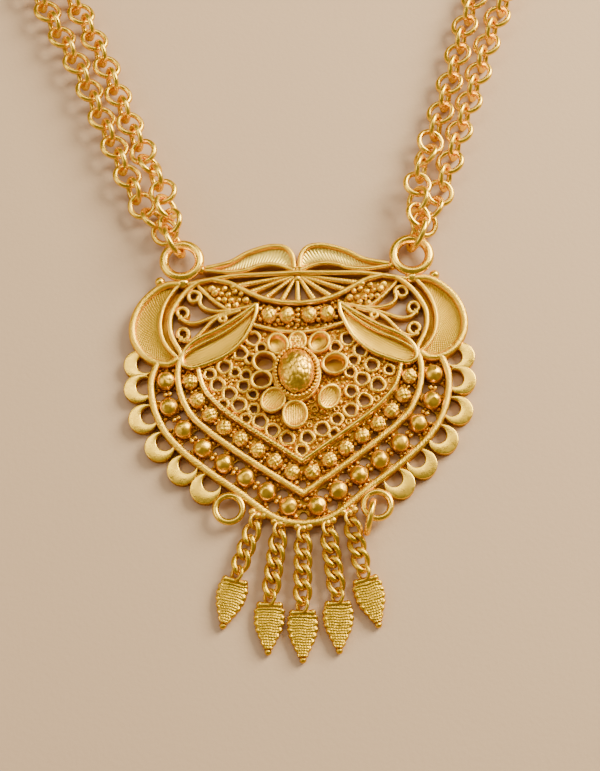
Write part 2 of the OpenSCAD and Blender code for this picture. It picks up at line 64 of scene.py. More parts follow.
# %% [markdown]
# ## Points and faces
# A shape here is a pair: an array of points and a list of blocks of faces. Blocks let quads and triangles
# live side by side, and joining shapes is then only a matter of counting. Working on arrays keeps thousands
# of links and grains quick to build, where an object and a modifier for each would be slow.

# %% Join, mirror and place shapes
def joined(shapes):
    points, faces, start = [], [], 0
    for some_points, some_faces in shapes:
        points.append(some_points)
        faces += [block + start for block in some_faces]
        start += len(some_points)
    return np.vstack(points), faces


def placed(shape, at, turn=None):
    points = shape[0] if turn is None else shape[0] @ np.array(turn).T
    return points + np.array(at, float), shape[1]


def mirrored(shape):
    return shape[0] * [-1, 1, 1], [block[:, ::-1] for block in shape[1]]


def on_both_sides(shapes):
    shapes = list(shapes)
    return joined(shapes + [mirrored(s) for s in shapes])


def grid_faces(rows, columns, round_rows=False, round_columns=True):
    """Quads over a grid of points, given row by row, that may close on itself either way."""
    i, k = np.meshgrid(np.arange(rows - (not round_rows)), np.arange(columns - (not round_columns)),
                       indexing="ij")
    j, n = (i + 1) % rows, (k + 1) % columns
    corners = [i * columns + k, i * columns + n, j * columns + n, j * columns + k]
    return np.stack(corners, axis=-1).reshape(-1, 4)


def stacked(points, around, from_last=True):
    """A closed skin over rings of points, which run left round seen from the last ring, or from the first."""
    rings = len(points) // around
    quads = grid_faces(rings, around)
    first, last = np.arange(around)[None], ((rings - 1) * around + np.arange(around))[None]
    if from_last:
        return points, [quads, first[:, ::-1], last]
    return points, [quads[:, [0, 3, 2, 1]], first, last[:, ::-1]]


def turned_by(x=0, y=0, z=0):
    """Turn about X, then Y, then Z, in degrees."""
    about = [Matrix.Rotation(math.radians(a), 3, axis) for a, axis in ((z, "Z"), (y, "Y"), (x, "X"))]
    return np.array(about[0] @ about[1] @ about[2])

# %% [markdown]
# ## From a shape to a piece
# Each piece rides on the frame's one body, takes its finish, and hides the solids that it stands in for. One
# function does all of that, so that no piece can be left behind.

# %% Make a piece
def make_piece(name, shape, finish, slot, *nodes, smooth=True):
    points, faces = shape
    mesh = bpy.data.meshes.new(name)
    mesh.from_pydata(((points + home) * mm).tolist(), [], [row for block in faces for row in block.tolist()])
    mesh.polygons.foreach_set("use_smooth", np.full(len(mesh.polygons), smooth))
    mesh.materials.append(finish)
    thing = bpy.data.objects.new(name, mesh)
    bpy.context.scene.collection.objects.link(thing)
    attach(thing, "root")
    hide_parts(*nodes)
    print(f"{name}: {sum(len(b) * (b.shape[1] - 2) for b in faces)} triangles")


def on_pendant(name, shape, finish, smooth=True):
    make_piece(name, shape, finish, "filigree_gold", "pendant", smooth=smooth)

# %% [markdown]
# ## Lines
# The outlines are short tables of points, and a smooth curve is run through them. The formula is the usual
# one for a curve that passes through its points, so a wire here lies exactly where its wall lies in the
# solids.

# %% Smooth and even out a line
def smooth_line(table, steps=6):
    p = np.array(table, float)
    line = []
    for i in range(len(p) - 1):
        a, b, c, d = p[max(i - 1, 0)], p[i], p[i + 1], p[min(i + 2, len(p) - 1)]
        for t in np.arange(steps) / steps:
            bend = (2 * a - 5 * b + 4 * c - d) + t * (3 * (b - c) + d - a)
            line.append(b + 0.5 * t * ((c - a) + t * bend))
    return np.array(line + [p[-1]])


def ways(line):
    return np.concatenate([[0], np.cumsum(np.linalg.norm(np.diff(line, axis=0), axis=1))])


def at_ways(line, s):
    way = ways(line)
    return np.stack([np.interp(s, way, line[:, k]) for k in range(line.shape[1])], axis=-1)


def evened(line, step):
    total = ways(line)[-1]
    return at_ways(line, np.linspace(0, total, max(3, int(round(total / step)) + 1)))


def lifted(line, z):
    """A flat line as one in space: z is a height or a height for each point."""
    return np.column_stack([line[:, :2], np.broadcast_to(z, len(line))])


def full_turn(around):
    """Even angles round a full turn."""
    return 2 * np.pi * np.arange(around) / around


def round_at(angle):
    """Points of a circle of radius 1 at one angle or at many."""
    return np.stack([np.cos(angle), np.sin(angle)], axis=-1)


def unit(v):
    return v / np.maximum(np.linalg.norm(v, axis=-1, keepdims=True), 1e-12)


def shifted(line, by):
    """A flat line moved sideways, to its left."""
    ahead = unit(np.gradient(line, axis=0))
    return line + by * np.column_stack([-ahead[:, 1], ahead[:, 0]])

# %% [markdown]
# ## Wires
# Every wire is swept: a section follows a line. Most wires of filigree are flat ribbons soldered on edge,
# so their section is a wall with a round top. A ripple swells and pinches the section as it goes. Turned
# along the line it gives a rope of twisted strands; running straight, it gives beaded wire, as a beading
# tool rolls it.

# %% Sweep a wire
def oval(width, height, sides=12):
    return round_at(full_turn(sides)) * [width / 2, height / 2]


def edgewise(width, down, sides=8):
    """Section of a ribbon on edge: a round top, and straight sides that go down from the line."""
    top = width / 2 * round_at(np.pi * np.arange(sides + 1) / sides)
    return np.vstack([[width / 2, -down], top, [-width / 2, -down]])


def sweep(line, section, closed=False, ripple=None, taper=None):
    if closed:
        ahead = unit(np.roll(line, -1, 0) - np.roll(line, 1, 0))
    else:
        ahead = unit(np.gradient(line, axis=0))
    side = unit(np.cross(ahead, [0, 0, 1]))
    top = np.cross(side, ahead)
    rings, sides = len(line), len(section)
    grow = np.ones((rings, sides))
    if ripple is not None:
        grow = grow * ripple(np.arctan2(section[:, 1], section[:, 0])[None, :], ways(line)[:, None])
    if taper is not None:
        grow = grow * np.array(taper)[:, None]
    out, up = (section.T[:, None] * grow)[..., None]
    reach = out * side[:, None] + up * top[:, None]
    points = (line[:, None] + reach).reshape(-1, 3)
    if closed:
        return points, [grid_faces(rings, sides, round_rows=True)[:, [0, 3, 2, 1]]]
    return stacked(points, sides, from_last=False)


def rope(strands, pitch, depth):
    """A twist that is worn more in some places than in others."""
    def ripple(angle, way):
        wound = angle - 2 * np.pi * way / pitch + 0.4 * np.sin(1.7 * way)
        worn = 0.65 + 0.35 * np.sin(2.3 * way) * np.sin(0.9 * way + angle)
        return 1 - depth * worn * (1 - abs(np.cos(strands / 2 * wound)))
    return ripple


def beaded(spacing, depth):
    return lambda angle, way: 1 - depth * (1 - abs(np.cos(np.pi * way / spacing)))


def standing(flat_line, width, top, low, step=0.15, sides=8, **more):
    """A ribbon soldered on edge along a flat line, from one height up to another."""
    z = top - width / 2
    return sweep(lifted(evened(flat_line, step), z), edgewise(width, z - low, sides), **more)


def hoop(radius, thick, around=40, sides=12, tall=None, **more):
    """A ring lying flat about the origin; radius is to the middle of its wire."""
    line = lifted(radius * round_at(full_turn(around)), 0)
    return sweep(line, oval(thick, tall or thick, sides), closed=True, **more)

# %% [markdown]
# ## Turned and ball shapes
# Beads, cups, feet and the clasp are round, so they are turned from a profile of radius and height. Beads
# are spheres that a small field of dents or bumps pushes in and out, which is what a burnisher or grains
# leave.

# %% Turn a profile and form a ball
def turned(profile, around=32):
    """profile: rows of radius and height, from the middle of the underside to the middle of the top."""
    circle = round_at(full_turn(around))
    return stacked(np.vstack([lifted(r * circle, z) for r, z in profile]), around)


def directions(count, seed=0):
    """Even directions over a sphere, on a spiral that seed turns."""
    k = np.arange(count) + 0.5
    z = 1 - 2 * k / count
    return lifted(np.sqrt(1 - z * z)[:, None] * round_at(math.pi * (1 + 5 ** 0.5) * k + seed), z)


def ball(size, around=24, up=12, relief=None):
    """size: a diameter, or three. relief takes directions and returns a scale for each."""
    polar = np.pi * (np.arange(up) + 0.5) / up
    circle = round_at(full_turn(around))
    d = np.vstack([lifted(np.sin(p) * circle, -np.cos(p)) for p in polar])
    return stacked(d * (1 if relief is None else relief(d)[:, None]) * np.array(size) / 2, around)


def bumps(count, height, spread, seed=0):
    """Grains all over a ball."""
    spots = directions(count, seed)
    def relief(d):
        near = np.arccos(np.clip((d @ spots.T).max(axis=1), -1, 1)) / spread
        return 1 - height + height * np.sqrt(np.clip(1 - near ** 2, 0, 1))
    return relief


def facets(count, cut, seed=0):
    """Flat places, as left by a burnisher."""
    spots = directions(count, seed)
    return lambda d: np.minimum(1, (1 - cut) / np.maximum((d @ spots.T).max(axis=1), 0.5))

# %% [markdown]
# ## Flat sheet
# The pierced sheet is every wire's outline and every field laid over each other, with holes drilled in it.
# All the outlines are thrown into one triangulation, and each triangle is then kept or dropped by where its
# middle lies. That needs no Boolean cuts, which tend to break on this many overlapping edges.

# %% Cut a sheet into triangles and raise a slab from them
def ribbon(line, width):
    """Outline of a band along a flat line."""
    return np.vstack([shifted(line, width / 2), shifted(line, -width / 2)[::-1]])


def inside(outline, spots):
    """Which spots lie inside a closed outline, counting its turns round them."""
    found = np.zeros(len(spots), bool)
    low, high = outline.min(0), outline.max(0)
    near = np.where(((spots > low) & (spots < high)).all(axis=1))[0]
    if len(near) == 0:
        return found
    x, y = spots[near, 0][:, None], spots[near, 1][:, None]
    a, b = outline, np.roll(outline, -1, 0)
    left = (b[:, 0] - a[:, 0]) * (y - a[:, 1]) - (x - a[:, 0]) * (b[:, 1] - a[:, 1])
    up = (a[:, 1] <= y) & (b[:, 1] > y) & (left > 0)
    down = (a[:, 1] > y) & (b[:, 1] <= y) & (left < 0)
    found[near] = (up.sum(axis=1) - down.sum(axis=1)) != 0
    return found


def in_any(outlines, spots):
    found = np.zeros(len(spots), bool)
    for outline in outlines:
        found |= inside(outline, spots)
    return found


def cut_up(outlines):
    """Triangles that keep every edge of the outlines, with the middle of each."""
    points, edges, start = [], [], 0
    for outline in outlines:
        n = len(outline)
        points += [Vector(p) for p in outline]
        edges += [(start + i, start + (i + 1) % n) for i in range(n)]
        start += n
    points, _, faces, _, _, _ = delaunay_2d_cdt(points, edges, [], 0, 1e-5)
    points = np.array([[p.x, p.y] for p in points])
    faces = np.array([f for f in faces if len(f) == 3])
    return points, faces, points[faces].mean(axis=1)


def slab(points, faces, low, high):
    """A closed sheet from the kept triangles."""
    used, again = np.unique(faces, return_inverse=True)
    flat, faces = points[used], again.reshape(faces.shape)
    n = len(flat)
    both = np.vstack([lifted(flat, high), lifted(flat, low)])
    edges = np.vstack([faces[:, [0, 1]], faces[:, [1, 2]], faces[:, [2, 0]]])
    codes = edges[:, 0] * n + edges[:, 1]
    rim = edges[~np.isin(codes, edges[:, 1] * n + edges[:, 0])]
    walls = np.column_stack([rim[:, 1], rim[:, 0], rim[:, 0] + n, rim[:, 1] + n])
    return both, [faces, faces[:, ::-1] + n, walls]

# %% [markdown]
# # Gold finishes
# High-carat gold is a plain metal: its colour sits in the reflection. What tells one finish from another is
# how rough it is. Into each colour goes painted shade: the recesses are painted darker and more orange, for
# the light that bounces there from gold to gold. Two node groups hold what all the finishes share: the
# painted shade by height with random tone patches, and the marks of the hand.

# %% Group: painted shade that darkens the colour in the recesses, with random tone patches
def new_group(name, inputs, outputs):
    group = bpy.data.node_groups.new(name, "ShaderNodeTree")
    for label, kind, value in inputs:
        group.interface.new_socket(label, in_out="INPUT", socket_type=kind).default_value = value
    for label, kind in outputs:
        group.interface.new_socket(label, in_out="OUTPUT", socket_type=kind)
    return group, group.nodes.new("NodeGroupInput"), group.nodes.new("NodeGroupOutput")


def add(tree, kind, links=(), **settings):
    """Add a node. links pair an input with a value or a socket; settings are the node's own options."""
    node = tree.nodes.new(kind)
    for key, value in settings.items():
        setattr(node, key, value)
    for socket, source in links:
        if isinstance(source, bpy.types.NodeSocket):
            tree.links.new(source, node.inputs[socket])
        else:
            node.inputs[socket].default_value = source
    return node


def noise(tree, place, scale, detail, **more):
    """Noise over the piece's own place, in metres."""
    return add(tree, "ShaderNodeTexNoise", [("Vector", place.outputs["Object"]), ("Scale", scale),
                                            ("Detail", detail), *more.items()])


tone, tone_in, tone_out = new_group(
    "Painted recess shade and tone patches",
    [("Bright", "NodeSocketColor", (1, 0.8, 0.4, 1)), ("Painted shade", "NodeSocketColor", (0.6, 0.3, 0.1, 1)),
     ("Low", "NodeSocketFloat", 0.0004), ("High", "NodeSocketFloat", 0.0018)],
    [("Color", "NodeSocketColor")])
place = add(tone, "ShaderNodeTexCoord")
height = add(tone, "ShaderNodeSeparateXYZ", [(0, place.outputs["Object"])])
cloud = noise(tone, place, 700, 3)
# Painted shade: by height the colour runs from the shade tone at Low to the bright tone at High; the cloud
# patches vary the tone at random
raised = add(tone, "ShaderNodeMapRange",
             [("Value", height.outputs["Z"]), ("From Min", tone_in.outputs["Low"]),
              ("From Max", tone_in.outputs["High"])], interpolation_type="SMOOTHSTEP")
patch = add(tone, "ShaderNodeMapRange", [("Value", cloud.outputs["Fac"]), ("From Min", 0.35),
                                         ("From Max", 0.65), ("To Min", 0.82), ("To Max", 1.0)])
share = add(tone, "ShaderNodeMath", [(0, raised.outputs[0]), (1, patch.outputs[0])], operation="MULTIPLY")
mixed = add(tone, "ShaderNodeMix", [("Factor", share.outputs[0]), (6, tone_in.outputs["Painted shade"]),
                                    (7, tone_in.outputs["Bright"])], data_type="RGBA")
tone.links.new(mixed.outputs[2], tone_out.inputs["Color"])
print("group:", tone.name)

# %% Group: the marks that files, burnishers and use leave
marks, marks_in, marks_out = new_group(
    "Hand marks",
    [("Grain", "NodeSocketFloat", 4000.0), ("Rough low", "NodeSocketFloat", 0.15),
     ("Rough high", "NodeSocketFloat", 0.35)],
    [("Height", "NodeSocketFloat"), ("Roughness", "NodeSocketFloat")])
place = add(marks, "ShaderNodeTexCoord")
pits = noise(marks, place, marks_in.outputs["Grain"], 4, Roughness=0.65)
wear = noise(marks, place, 1100, 2)
stretched = add(marks, "ShaderNodeMapping", [("Vector", place.outputs["Object"]),
                                             ("Rotation", (0.3, 0.2, 0.7)), ("Scale", (900, 9000, 900))])
lines = add(marks, "ShaderNodeTexNoise", [("Vector", stretched.outputs[0]), ("Scale", 1), ("Detail", 2)])
both = add(marks, "ShaderNodeMix", [("Factor", 0.3), ("A", pits.outputs["Fac"]), ("B", lines.outputs["Fac"])])
rough = add(marks, "ShaderNodeMapRange",
            [("Value", wear.outputs["Fac"]), ("From Min", 0.3), ("From Max", 0.7),
             ("To Min", marks_in.outputs["Rough low"]), ("To Max", marks_in.outputs["Rough high"])])
marks.links.new(both.outputs[0], marks_out.inputs["Height"])
marks.links.new(rough.outputs[0], marks_out.inputs["Roughness"])
print("group:", marks.name)

# %% The finishes
def gold_finish(name, bright, shade_colour, low, high, grain, depth, rough_low, rough_high):
    """Colours are linear; the second is painted shade, which gives way to the first between the heights low
    and high, in mm.
    """
    finish = bpy.data.materials.new(name)
    finish.use_nodes = True
    tree = finish.node_tree
    tree.nodes.clear()
    colour = add(tree, "ShaderNodeGroup", [("Bright", (*bright, 1)), ("Painted shade", (*shade_colour, 1)), ("Low", low * mm),
                                           ("High", high * mm)], node_tree=tone)
    hand = add(tree, "ShaderNodeGroup", [("Grain", grain), ("Rough low", rough_low),
                                         ("Rough high", rough_high)], node_tree=marks)
    bump = add(tree, "ShaderNodeBump", [("Strength", 1), ("Distance", depth * mm),
                                        ("Height", hand.outputs["Height"])])
    metal = add(tree, "ShaderNodeBsdfPrincipled", [("Base Color", colour.outputs["Color"]), ("Metallic", 1),
                                                   ("Roughness", hand.outputs["Roughness"]),
                                                   ("Specular Tint", (1, 0.72, 0.3, 1)),
                                                   ("Normal", bump.outputs["Normal"])])
    add(tree, "ShaderNodeOutputMaterial", [("Surface", metal.outputs["BSDF"])])
    print("finish:", name)
    return finish


# Sunny and bright are tones of the gold itself; ochre and umber are painted shade for the recesses
sunny = (1.0, 0.63, 0.045)
shade_ochre = (0.76, 0.42, 0.025)
bright = (1.0, 0.65, 0.055)
shade_umber = (0.52, 0.27, 0.015)
# Each row: name, bright tone, painted shade tone, heights where the shade gives way to the bright tone,
# grain, depth of its marks, roughness from and to
(polished, bead_gold, wire_gold, grain_gold, frosted, painted_highlight_gold, satin, chased_gold, painted_shade_gold, chain_metal,
 tassel_metal) = [gold_finish(*row) for row in (
    ("polished gold", bright, shade_ochre, 0.1, 1.4, 2500, 0.015, 0.22, 0.34),
    ("burnished gold", (0.9, 0.54, 0.04), (0.64, 0.33, 0.02), 0.2, 1.9, 1800, 0.05, 0.26, 0.4),
    ("wire gold", sunny, shade_ochre, 0.8, 1.8, 4500, 0.1, 0.28, 0.42),
    ("grained gold", sunny, shade_ochre, 0.7, 1.8, 5000, 0.1, 0.28, 0.42),
    ("frosted gold", (0.86, 0.53, 0.035), shade_umber, 0.75, 1.3, 7000, 0.1, 0.34, 0.48),
    # The crest's gold is rougher, and painted paler as a painted highlight where the light catches the crest
    ("gold painted pale as lit", (1.0, 0.73, 0.12), shade_ochre, 0.4, 1.2, 2500, 0.015, 0.34, 0.46),
    ("satin gold", (0.92, 0.58, 0.045), shade_umber, 0.75, 1.3, 6000, 0.025, 0.3, 0.42),
    ("chased gold", (0.62, 0.4, 0.025), shade_umber, 0.9, 1.3, 8000, 0.06, 0.34, 0.48),
    # The hollows' gold is painted dark all over: painted shade for the low ground of the bands
    ("gold painted dark as shade", (0.46, 0.24, 0.02), (0.24, 0.11, 0.008), 0.0, 0.5, 6000, 0.05, 0.4, 0.55),
    ("chain gold", bright, shade_ochre, 0.0, 2.4, 2500, 0.03, 0.22, 0.36),
    ("tassel gold", (0.75, 0.475, 0.028), shade_ochre, 0.0, 1.6, 4500, 0.07, 0.26, 0.4))]

# %% [markdown]
# # The pendant
# One stamped and soldered piece. Its right half is laid out below and mirrored, as a maker would bend every
# wire twice. The rows are points that the wires run through, in millimetres from the middle of the pendant.

# %% The wires of the right half, each row x and y
lines_of_half = {
    "outer": [[20.2, 3.9], [21, 1.4], [20.9, -1.2], [20.2, -3.9], [18.9, -6.5], [16.9, -8.9],
              [14.4, -11.1], [11.7, -13.2], [9.2, -15], [6.7, -17], [4.6, -18.6], [2.4, -19.6],
              [0, -19.9]],
    "middle": [[16.9, 4.8], [17.3, 2.5], [17.1, 0.3], [16.5, -1.8], [15.2, -4.2], [13.2, -6.2],
               [10.6, -8.3], [7.5, -10.6], [3.9, -13.1], [0, -15.7]],
    "inner": [[14.4, 2.8], [13.6, 0], [12.1, -2], [10.1, -3.9], [7.3, -6], [4.3, -8.1], [0, -11.1]],
    "chord": [[16, 16.1], [12.4, 16.8], [9.1, 17.3], [5.6, 17.4], [2.5, 17.5], [0, 17.6]],
    "arc": [[12.4, 16.8], [9.8, 16.1], [7.5, 14.8], [5.1, 13.6], [2.5, 12.95], [0, 12.75]],
    "bead wire": [[6.5, 9.5], [3.2, 8.5], [0, 8.1]],
    "wing": [[14.3, 16.5], [16, 15.2], [17.5, 13.2], [18.45, 11.1], [18.45, 8.9], [17.9, 7.2], [17, 5.6],
             [16.8, 4.6]],
    "strip": [[14.5, 15.9], [12.5, 13.8], [10.9, 12.5], [9.8, 11.9]],
    "leaf": [[6, 12.7], [8.4, 10.9], [11.4, 9], [14.4, 7.5], [16, 6.2], [16.7, 4.8], [16.5, 3.6],
             [15.2, 3.1], [12.8, 3.8], [10.3, 5], [8.2, 6.9], [7, 8.9], [6.1, 11.2], [6, 12.7]],
    "crescent outer": [[17.1, 16.2], [19.1, 16.1], [21.1, 14.9], [22.9, 12.8], [23.8, 10.3], [23.8, 8.2],
                       [23.2, 6.6], [22, 5], [20.3, 4], [18.5, 3.8], [17.3, 4.6]],
    "crescent inner": [[17.1, 16.2], [18.4, 14.6], [19.4, 12.7], [19.9, 10.2], [19.6, 7.9], [18.7, 6.1],
                       [17.3, 4.6]],
    "crest upper": [[13.4, 18.6], [9.9, 19.4], [7.4, 20.8], [4.8, 21.7], [3, 21.9], [1.5, 21.5],
                    [0.6, 20.2], [0.4, 18.2]],
    "crest lower": [[13.4, 18.3], [9.9, 17.9], [7.4, 18.2], [5.7, 18.8], [4, 19], [2.3, 18.7],
                    [0.4, 17.9]]}

# Scrolls: each row is a curl's centre x and y, its radius, and the angle where it opens into its stem
curls = [[15.1, 14.2, 0.98, 200], [16.8, 11.75, 0.95, 300], [16.7, 8.45, 1, 300], [10.9, 10.7, 0.55, 60]]
stems = [[[14.25, 14], [14.15, 13], [13.2, 12.2], [11.6, 11.85], [9.8, 11.9], [7.9, 12.3], [6.1, 12.7]],
         [[17.15, 11.15], [16.2, 10.3], [14.9, 10.1], [13.4, 10.55], [11.6, 11.2], [9.8, 11.75]],
         [[17.1, 7.8], [16.2, 7.3], [15.1, 7.6], [14.1, 8.5], [12.8, 9.95], [11.5, 11.05]],
         [[11.15, 11.15], [10, 11.4], [8.4, 11.9]]]
ray_ends = [[0, 12.9], [2.45, 13.1], [4.85, 13.7], [7, 14.7], [8.9, 15.8]]
ray_hub = [0, 17.4]
print("wires laid out:", len(lines_of_half) + len(curls) + len(stems) + len(ray_ends))

# %% What sits between the wires of the right half
# Beads: each row x and y. Scallops: centre x and y, then x and y of the round bite out of each
beads = [[18.95, 1.3], [18.5, -2.65], [16.4, -6], [13.7, -8.8], [10.8, -11.1], [7.85, -13.2], [4.9, -15.3],
         [1.95, -17.4]]
grain_beads = [[15.55, 1.05], [14.5, -1.75], [12.75, -4], [10.75, -5.9], [8.5, -7.6], [6.15, -9.3],
               [3.8, -10.95], [1.4, -12.6]]
top_beads = [[1.6, 10.95], [4.2, 11.1]]
scallops = [[22.9, 3.95, 21.9, 3.95], [22.8, 0.3, 21.9, 0.6], [22.05, -4.2, 21.15, -3.75],
            [19.7, -8.4, 18.95, -7.7], [16.55, -11.85, 15.8, -11.05], [13.35, -14.6, 12.5, -13.75]]

# Rings of the net, which is worked by hand and differs from left to right: each row x, y and hole
net_rings = [[-6.6, 7.5, 1.6], [-5.4, 6, 1.15], [-8.4, 5.3, 1.45], [-7, 4.4, 1.05], [-10.7, 3.3, 1.5],
             [-9.2, 2.4, 1], [-12.8, 2.2, 1.15], [-7.6, 1.9, 1.15], [-11.7, 0.6, 1.5], [-8, 0.3, 1.35],
             [-10, -0.8, 1.5], [-6.7, -1, 1.1], [-8.7, -2.5, 1.6], [-10.9, -2.3, 1.05], [-6.6, -3.2, 1.15],
             [-5.7, -5, 1.6], [-7.7, -4.6, 1.05], [-4, -6.4, 1.5], [-2, -7.6, 1.5], [7, 7.1, 1.6],
             [5.2, 5.9, 1.25], [8.8, 5.3, 1.5], [7.7, 3.8, 1.25], [10.3, 3, 1.5], [7.2, 2, 1.15],
             [12.7, 2.2, 1.05], [8.8, 0.9, 1.5], [11, 0, 1.6], [7.2, -0.9, 1.35], [9, -2.3, 1.6],
             [7, -3.7, 1.5], [5, -5, 1.25], [2.9, -6.4, 1.6], [4.6, -7.1, 1.05], [0.8, -7.6, 1.45],
             [0, -9.4, 1.25]]

# Petals round the dome: x, y, size, depth of the cup and way between scored lines (9 for none)
petals_at = [[-3.0, 6.2, 3.1, 1.1, 9], [2.9, 6.3, 3.1, 1.1, 9], [-0.2, 6.6, 2.7, 0.3, 9],
             [-4.9, 3.5, 3.3, 1.9, 9], [5, 3, 3.4, 1.7, 9], [-5.4, 0.8, 2.9, 1.9, 9],
             [-3.8, -2.2, 3.5, 0.4, 0.34], [-0.8, -4.4, 3.7, 0.5, 0.34]]
open_from = 1.8  # a cup deeper than this has no floor
tilted_at = [3.7, -1.9]
rough_patch_at = np.array([-0.2, 6.5])
dome_at = np.array([-0.45, 1.75])
middle_gaps = [[0, -14.1], [0, -18.6]]
print("beads:", 2 * (len(beads) + len(grain_beads) + len(top_beads)), "net rings:", len(net_rings))

# %% Lines of the wires, smoothed once
sheet_top = 0.8
net_floor, band_floor = 0.75, 0.4
fine_top = 1.32
smooth_lines = {name: smooth_line(rows) for name, rows in lines_of_half.items()}


def whole(name):
    """A line of the right half and its mirror image, joined where they meet."""
    right = smooth_lines[name]
    return np.vstack([right, (right * [-1, 1])[::-1][1:]])


def curl_line(row, turns=390, inner=0.62):
    x, y, r, opens = row
    a = np.linspace(0, turns, 60)
    grown = r * (inner + (1 - inner) * a / turns)
    return [x, y] + grown[:, None] * round_at(np.radians(opens - turns + a))


fine_lines = [curl_line(row) for row in curls] + [smooth_line(rows) for rows in stems]
fine_lines += [smooth_lines["strip"]]
print("longest border:", round(ways(whole("outer"))[-1], 1), "mm")

# %% [markdown]
# ## The pierced sheet
# Under the wires lies thin sheet with its surface left frosted by the acid bath. It could be cut with
# Boolean holes, but a triangulation of all outlines at once is quicker and gives clean edges. The net's
# ground is lower than the rest, so its rings stand clear of it and the gaps read dark.

# %% Outlines of the sheet
def disc(x, y, d, around=28):
    return [x, y] + d / 2 * round_at(full_turn(around))


def between(name_a, name_b):
    return np.vstack([smooth_lines[name_a], smooth_lines[name_b][::-1]])


def gap_beside(row, i, off):
    """A spot between two beads of a row, off to the side."""
    a, b = np.array(row[i]), np.array(row[i + 1])
    ahead = unit(b - a)
    return (a + b) / 2 + off * np.array([-ahead[1], ahead[0]])


net_field = np.array([[0, 8.1], [6.5, 9.5], [8.2, 6.9], [10.3, 5], [12.8, 3.8], [14.4, 2.8], [13.6, 0],
                      [10.1, -3.9], [0, -11.1]])
bead_field = np.array([[0, 12.75], [6, 13.9], [6, 11], [6.5, 9.5], [3.2, 8.5], [0, 8.1]])
strip_field = np.array([[14.5, 15.9], [12.5, 13.8], [10.9, 12.5], [9.8, 11.9], [6.5, 12.8], [7.5, 14.8],
                        [9.8, 16.1], [12.4, 16.8]])
border_w, rim_w, fine_w = 0.9, 0.62, 0.46
solder_spots = [[11, 10.8, 1], [14.2, 16.1, 1], [14.4, 14.3, 0.6], [21.4, 2.3, 1], [14.15, -12.3, 1.9]]

right_fields = [smooth_lines["leaf"], between("crescent outer", "crescent inner"),
                between("crescent inner", "wing"), between("crest upper", "crest lower"),
                between("outer", "middle"), between("middle", "inner"), net_field, bead_field, strip_field]
right_wires = [ribbon(smooth_lines[name], border_w) for name in ("outer", "middle", "inner")]
right_wires += [ribbon(smooth_lines[name], rim_w) for name in smooth_lines
                if name not in ("outer", "middle", "inner", "strip")]
right_wires += [ribbon(line, fine_w) for line in fine_lines]
right_wires += [ribbon(np.array([ray_hub, end]), fine_w) for end in ray_ends]
right_wires += [disc(*spot) for spot in solder_spots]
scallop_d, bite_d = 4.3, 2.6
right_scallops = [disc(x, y, scallop_d - 0.1, 40) for x, y, _, _ in scallops]
right_bites = [disc(bite_x, bite_y, bite_d + 0.1, 32) for _, _, bite_x, bite_y in scallops]
right_gaps = [disc(*gap_beside(beads, i, off), 1.6) for i in range(7) for off in (-1, 1)]
right_gaps += [disc(*gap_beside(grain_beads, i, 0.8), 1.0) for i in range(5)]


def with_mirrors(lines):
    return lines + [line * [-1, 1] for line in lines]


fields, wires, discs, bites = map(with_mirrors, (right_fields, right_wires, right_scallops, right_bites))
gaps = with_mirrors(right_gaps) + [disc(x, y, 1.1) for x, y in middle_gaps]
gaps += [disc(x, y, d - 0.9) for x, y, d, depth, _ in petals_at if depth > open_from]
ring_holes = [disc(x, y, hole) for x, y, hole in net_rings]
net_fields = with_mirrors([net_field])

# %% Cut the sheet
sheet_points, sheet_faces, spots = cut_up(fields + wires + discs + bites + gaps + ring_holes)
in_wire = in_any(wires, spots)
in_scallop = in_any(discs, spots) & ~in_any(bites, spots)
kept = (in_any(fields, spots) | in_wire | in_scallop) & ~in_any(gaps + ring_holes, spots)
band_fields = [between("outer", "middle"), between("middle", "inner"), bead_field]
in_net = kept & in_any(net_fields, spots) & ~in_wire
low_fields = band_fields + [between("crescent inner", "wing")]
in_band = kept & in_any(with_mirrors(low_fields), spots) & ~in_wire & ~in_net
# The band ground takes the gold painted dark all over, as painted shade between the beads and wires
for name, part, height, finish in (("pierced_sheet", kept & ~in_net & ~in_band, sheet_top, frosted),
                                   ("net_ground", in_net, net_floor, frosted),
                                   ("band_ground", in_band, band_floor, painted_shade_gold)):
    on_pendant(name, slab(sheet_points, sheet_faces[part], 0, height), finish, smooth=False)

# %% [markdown]
# ## Borders, rims and fine wires
# The two outer borders are ropes: two or more wires twisted hard and flattened a little. The rims of the
# leaves are plain wire, burnished bright. Fan rays and scrolls are finely beaded. All stand on edge on the
# sheet, which is why light catches a thin line on top of each and leaves the space between them dark. The
# twist is worn and uneven, as handmade rope is, so the relief of the sweep changes slowly along the line.

# %% Rope borders
rope_shapes = [standing(whole("outer"), 1.05, 2.0, 0.3, step=0.12, sides=18, ripple=rope(6, 2.9, 0.14)),
               standing(whole("middle"), 0.98, 1.95, 0.3, step=0.12, sides=18, ripple=rope(6, 2.7, 0.14))]
on_pendant("rope_borders", joined(rope_shapes), wire_gold)
inner_rope = standing(whole("inner"), 0.76, 1.9, 0.3, step=0.1, sides=18, ripple=rope(5, 2.6, 0.1))
on_pendant("inner_border", inner_rope, polished)

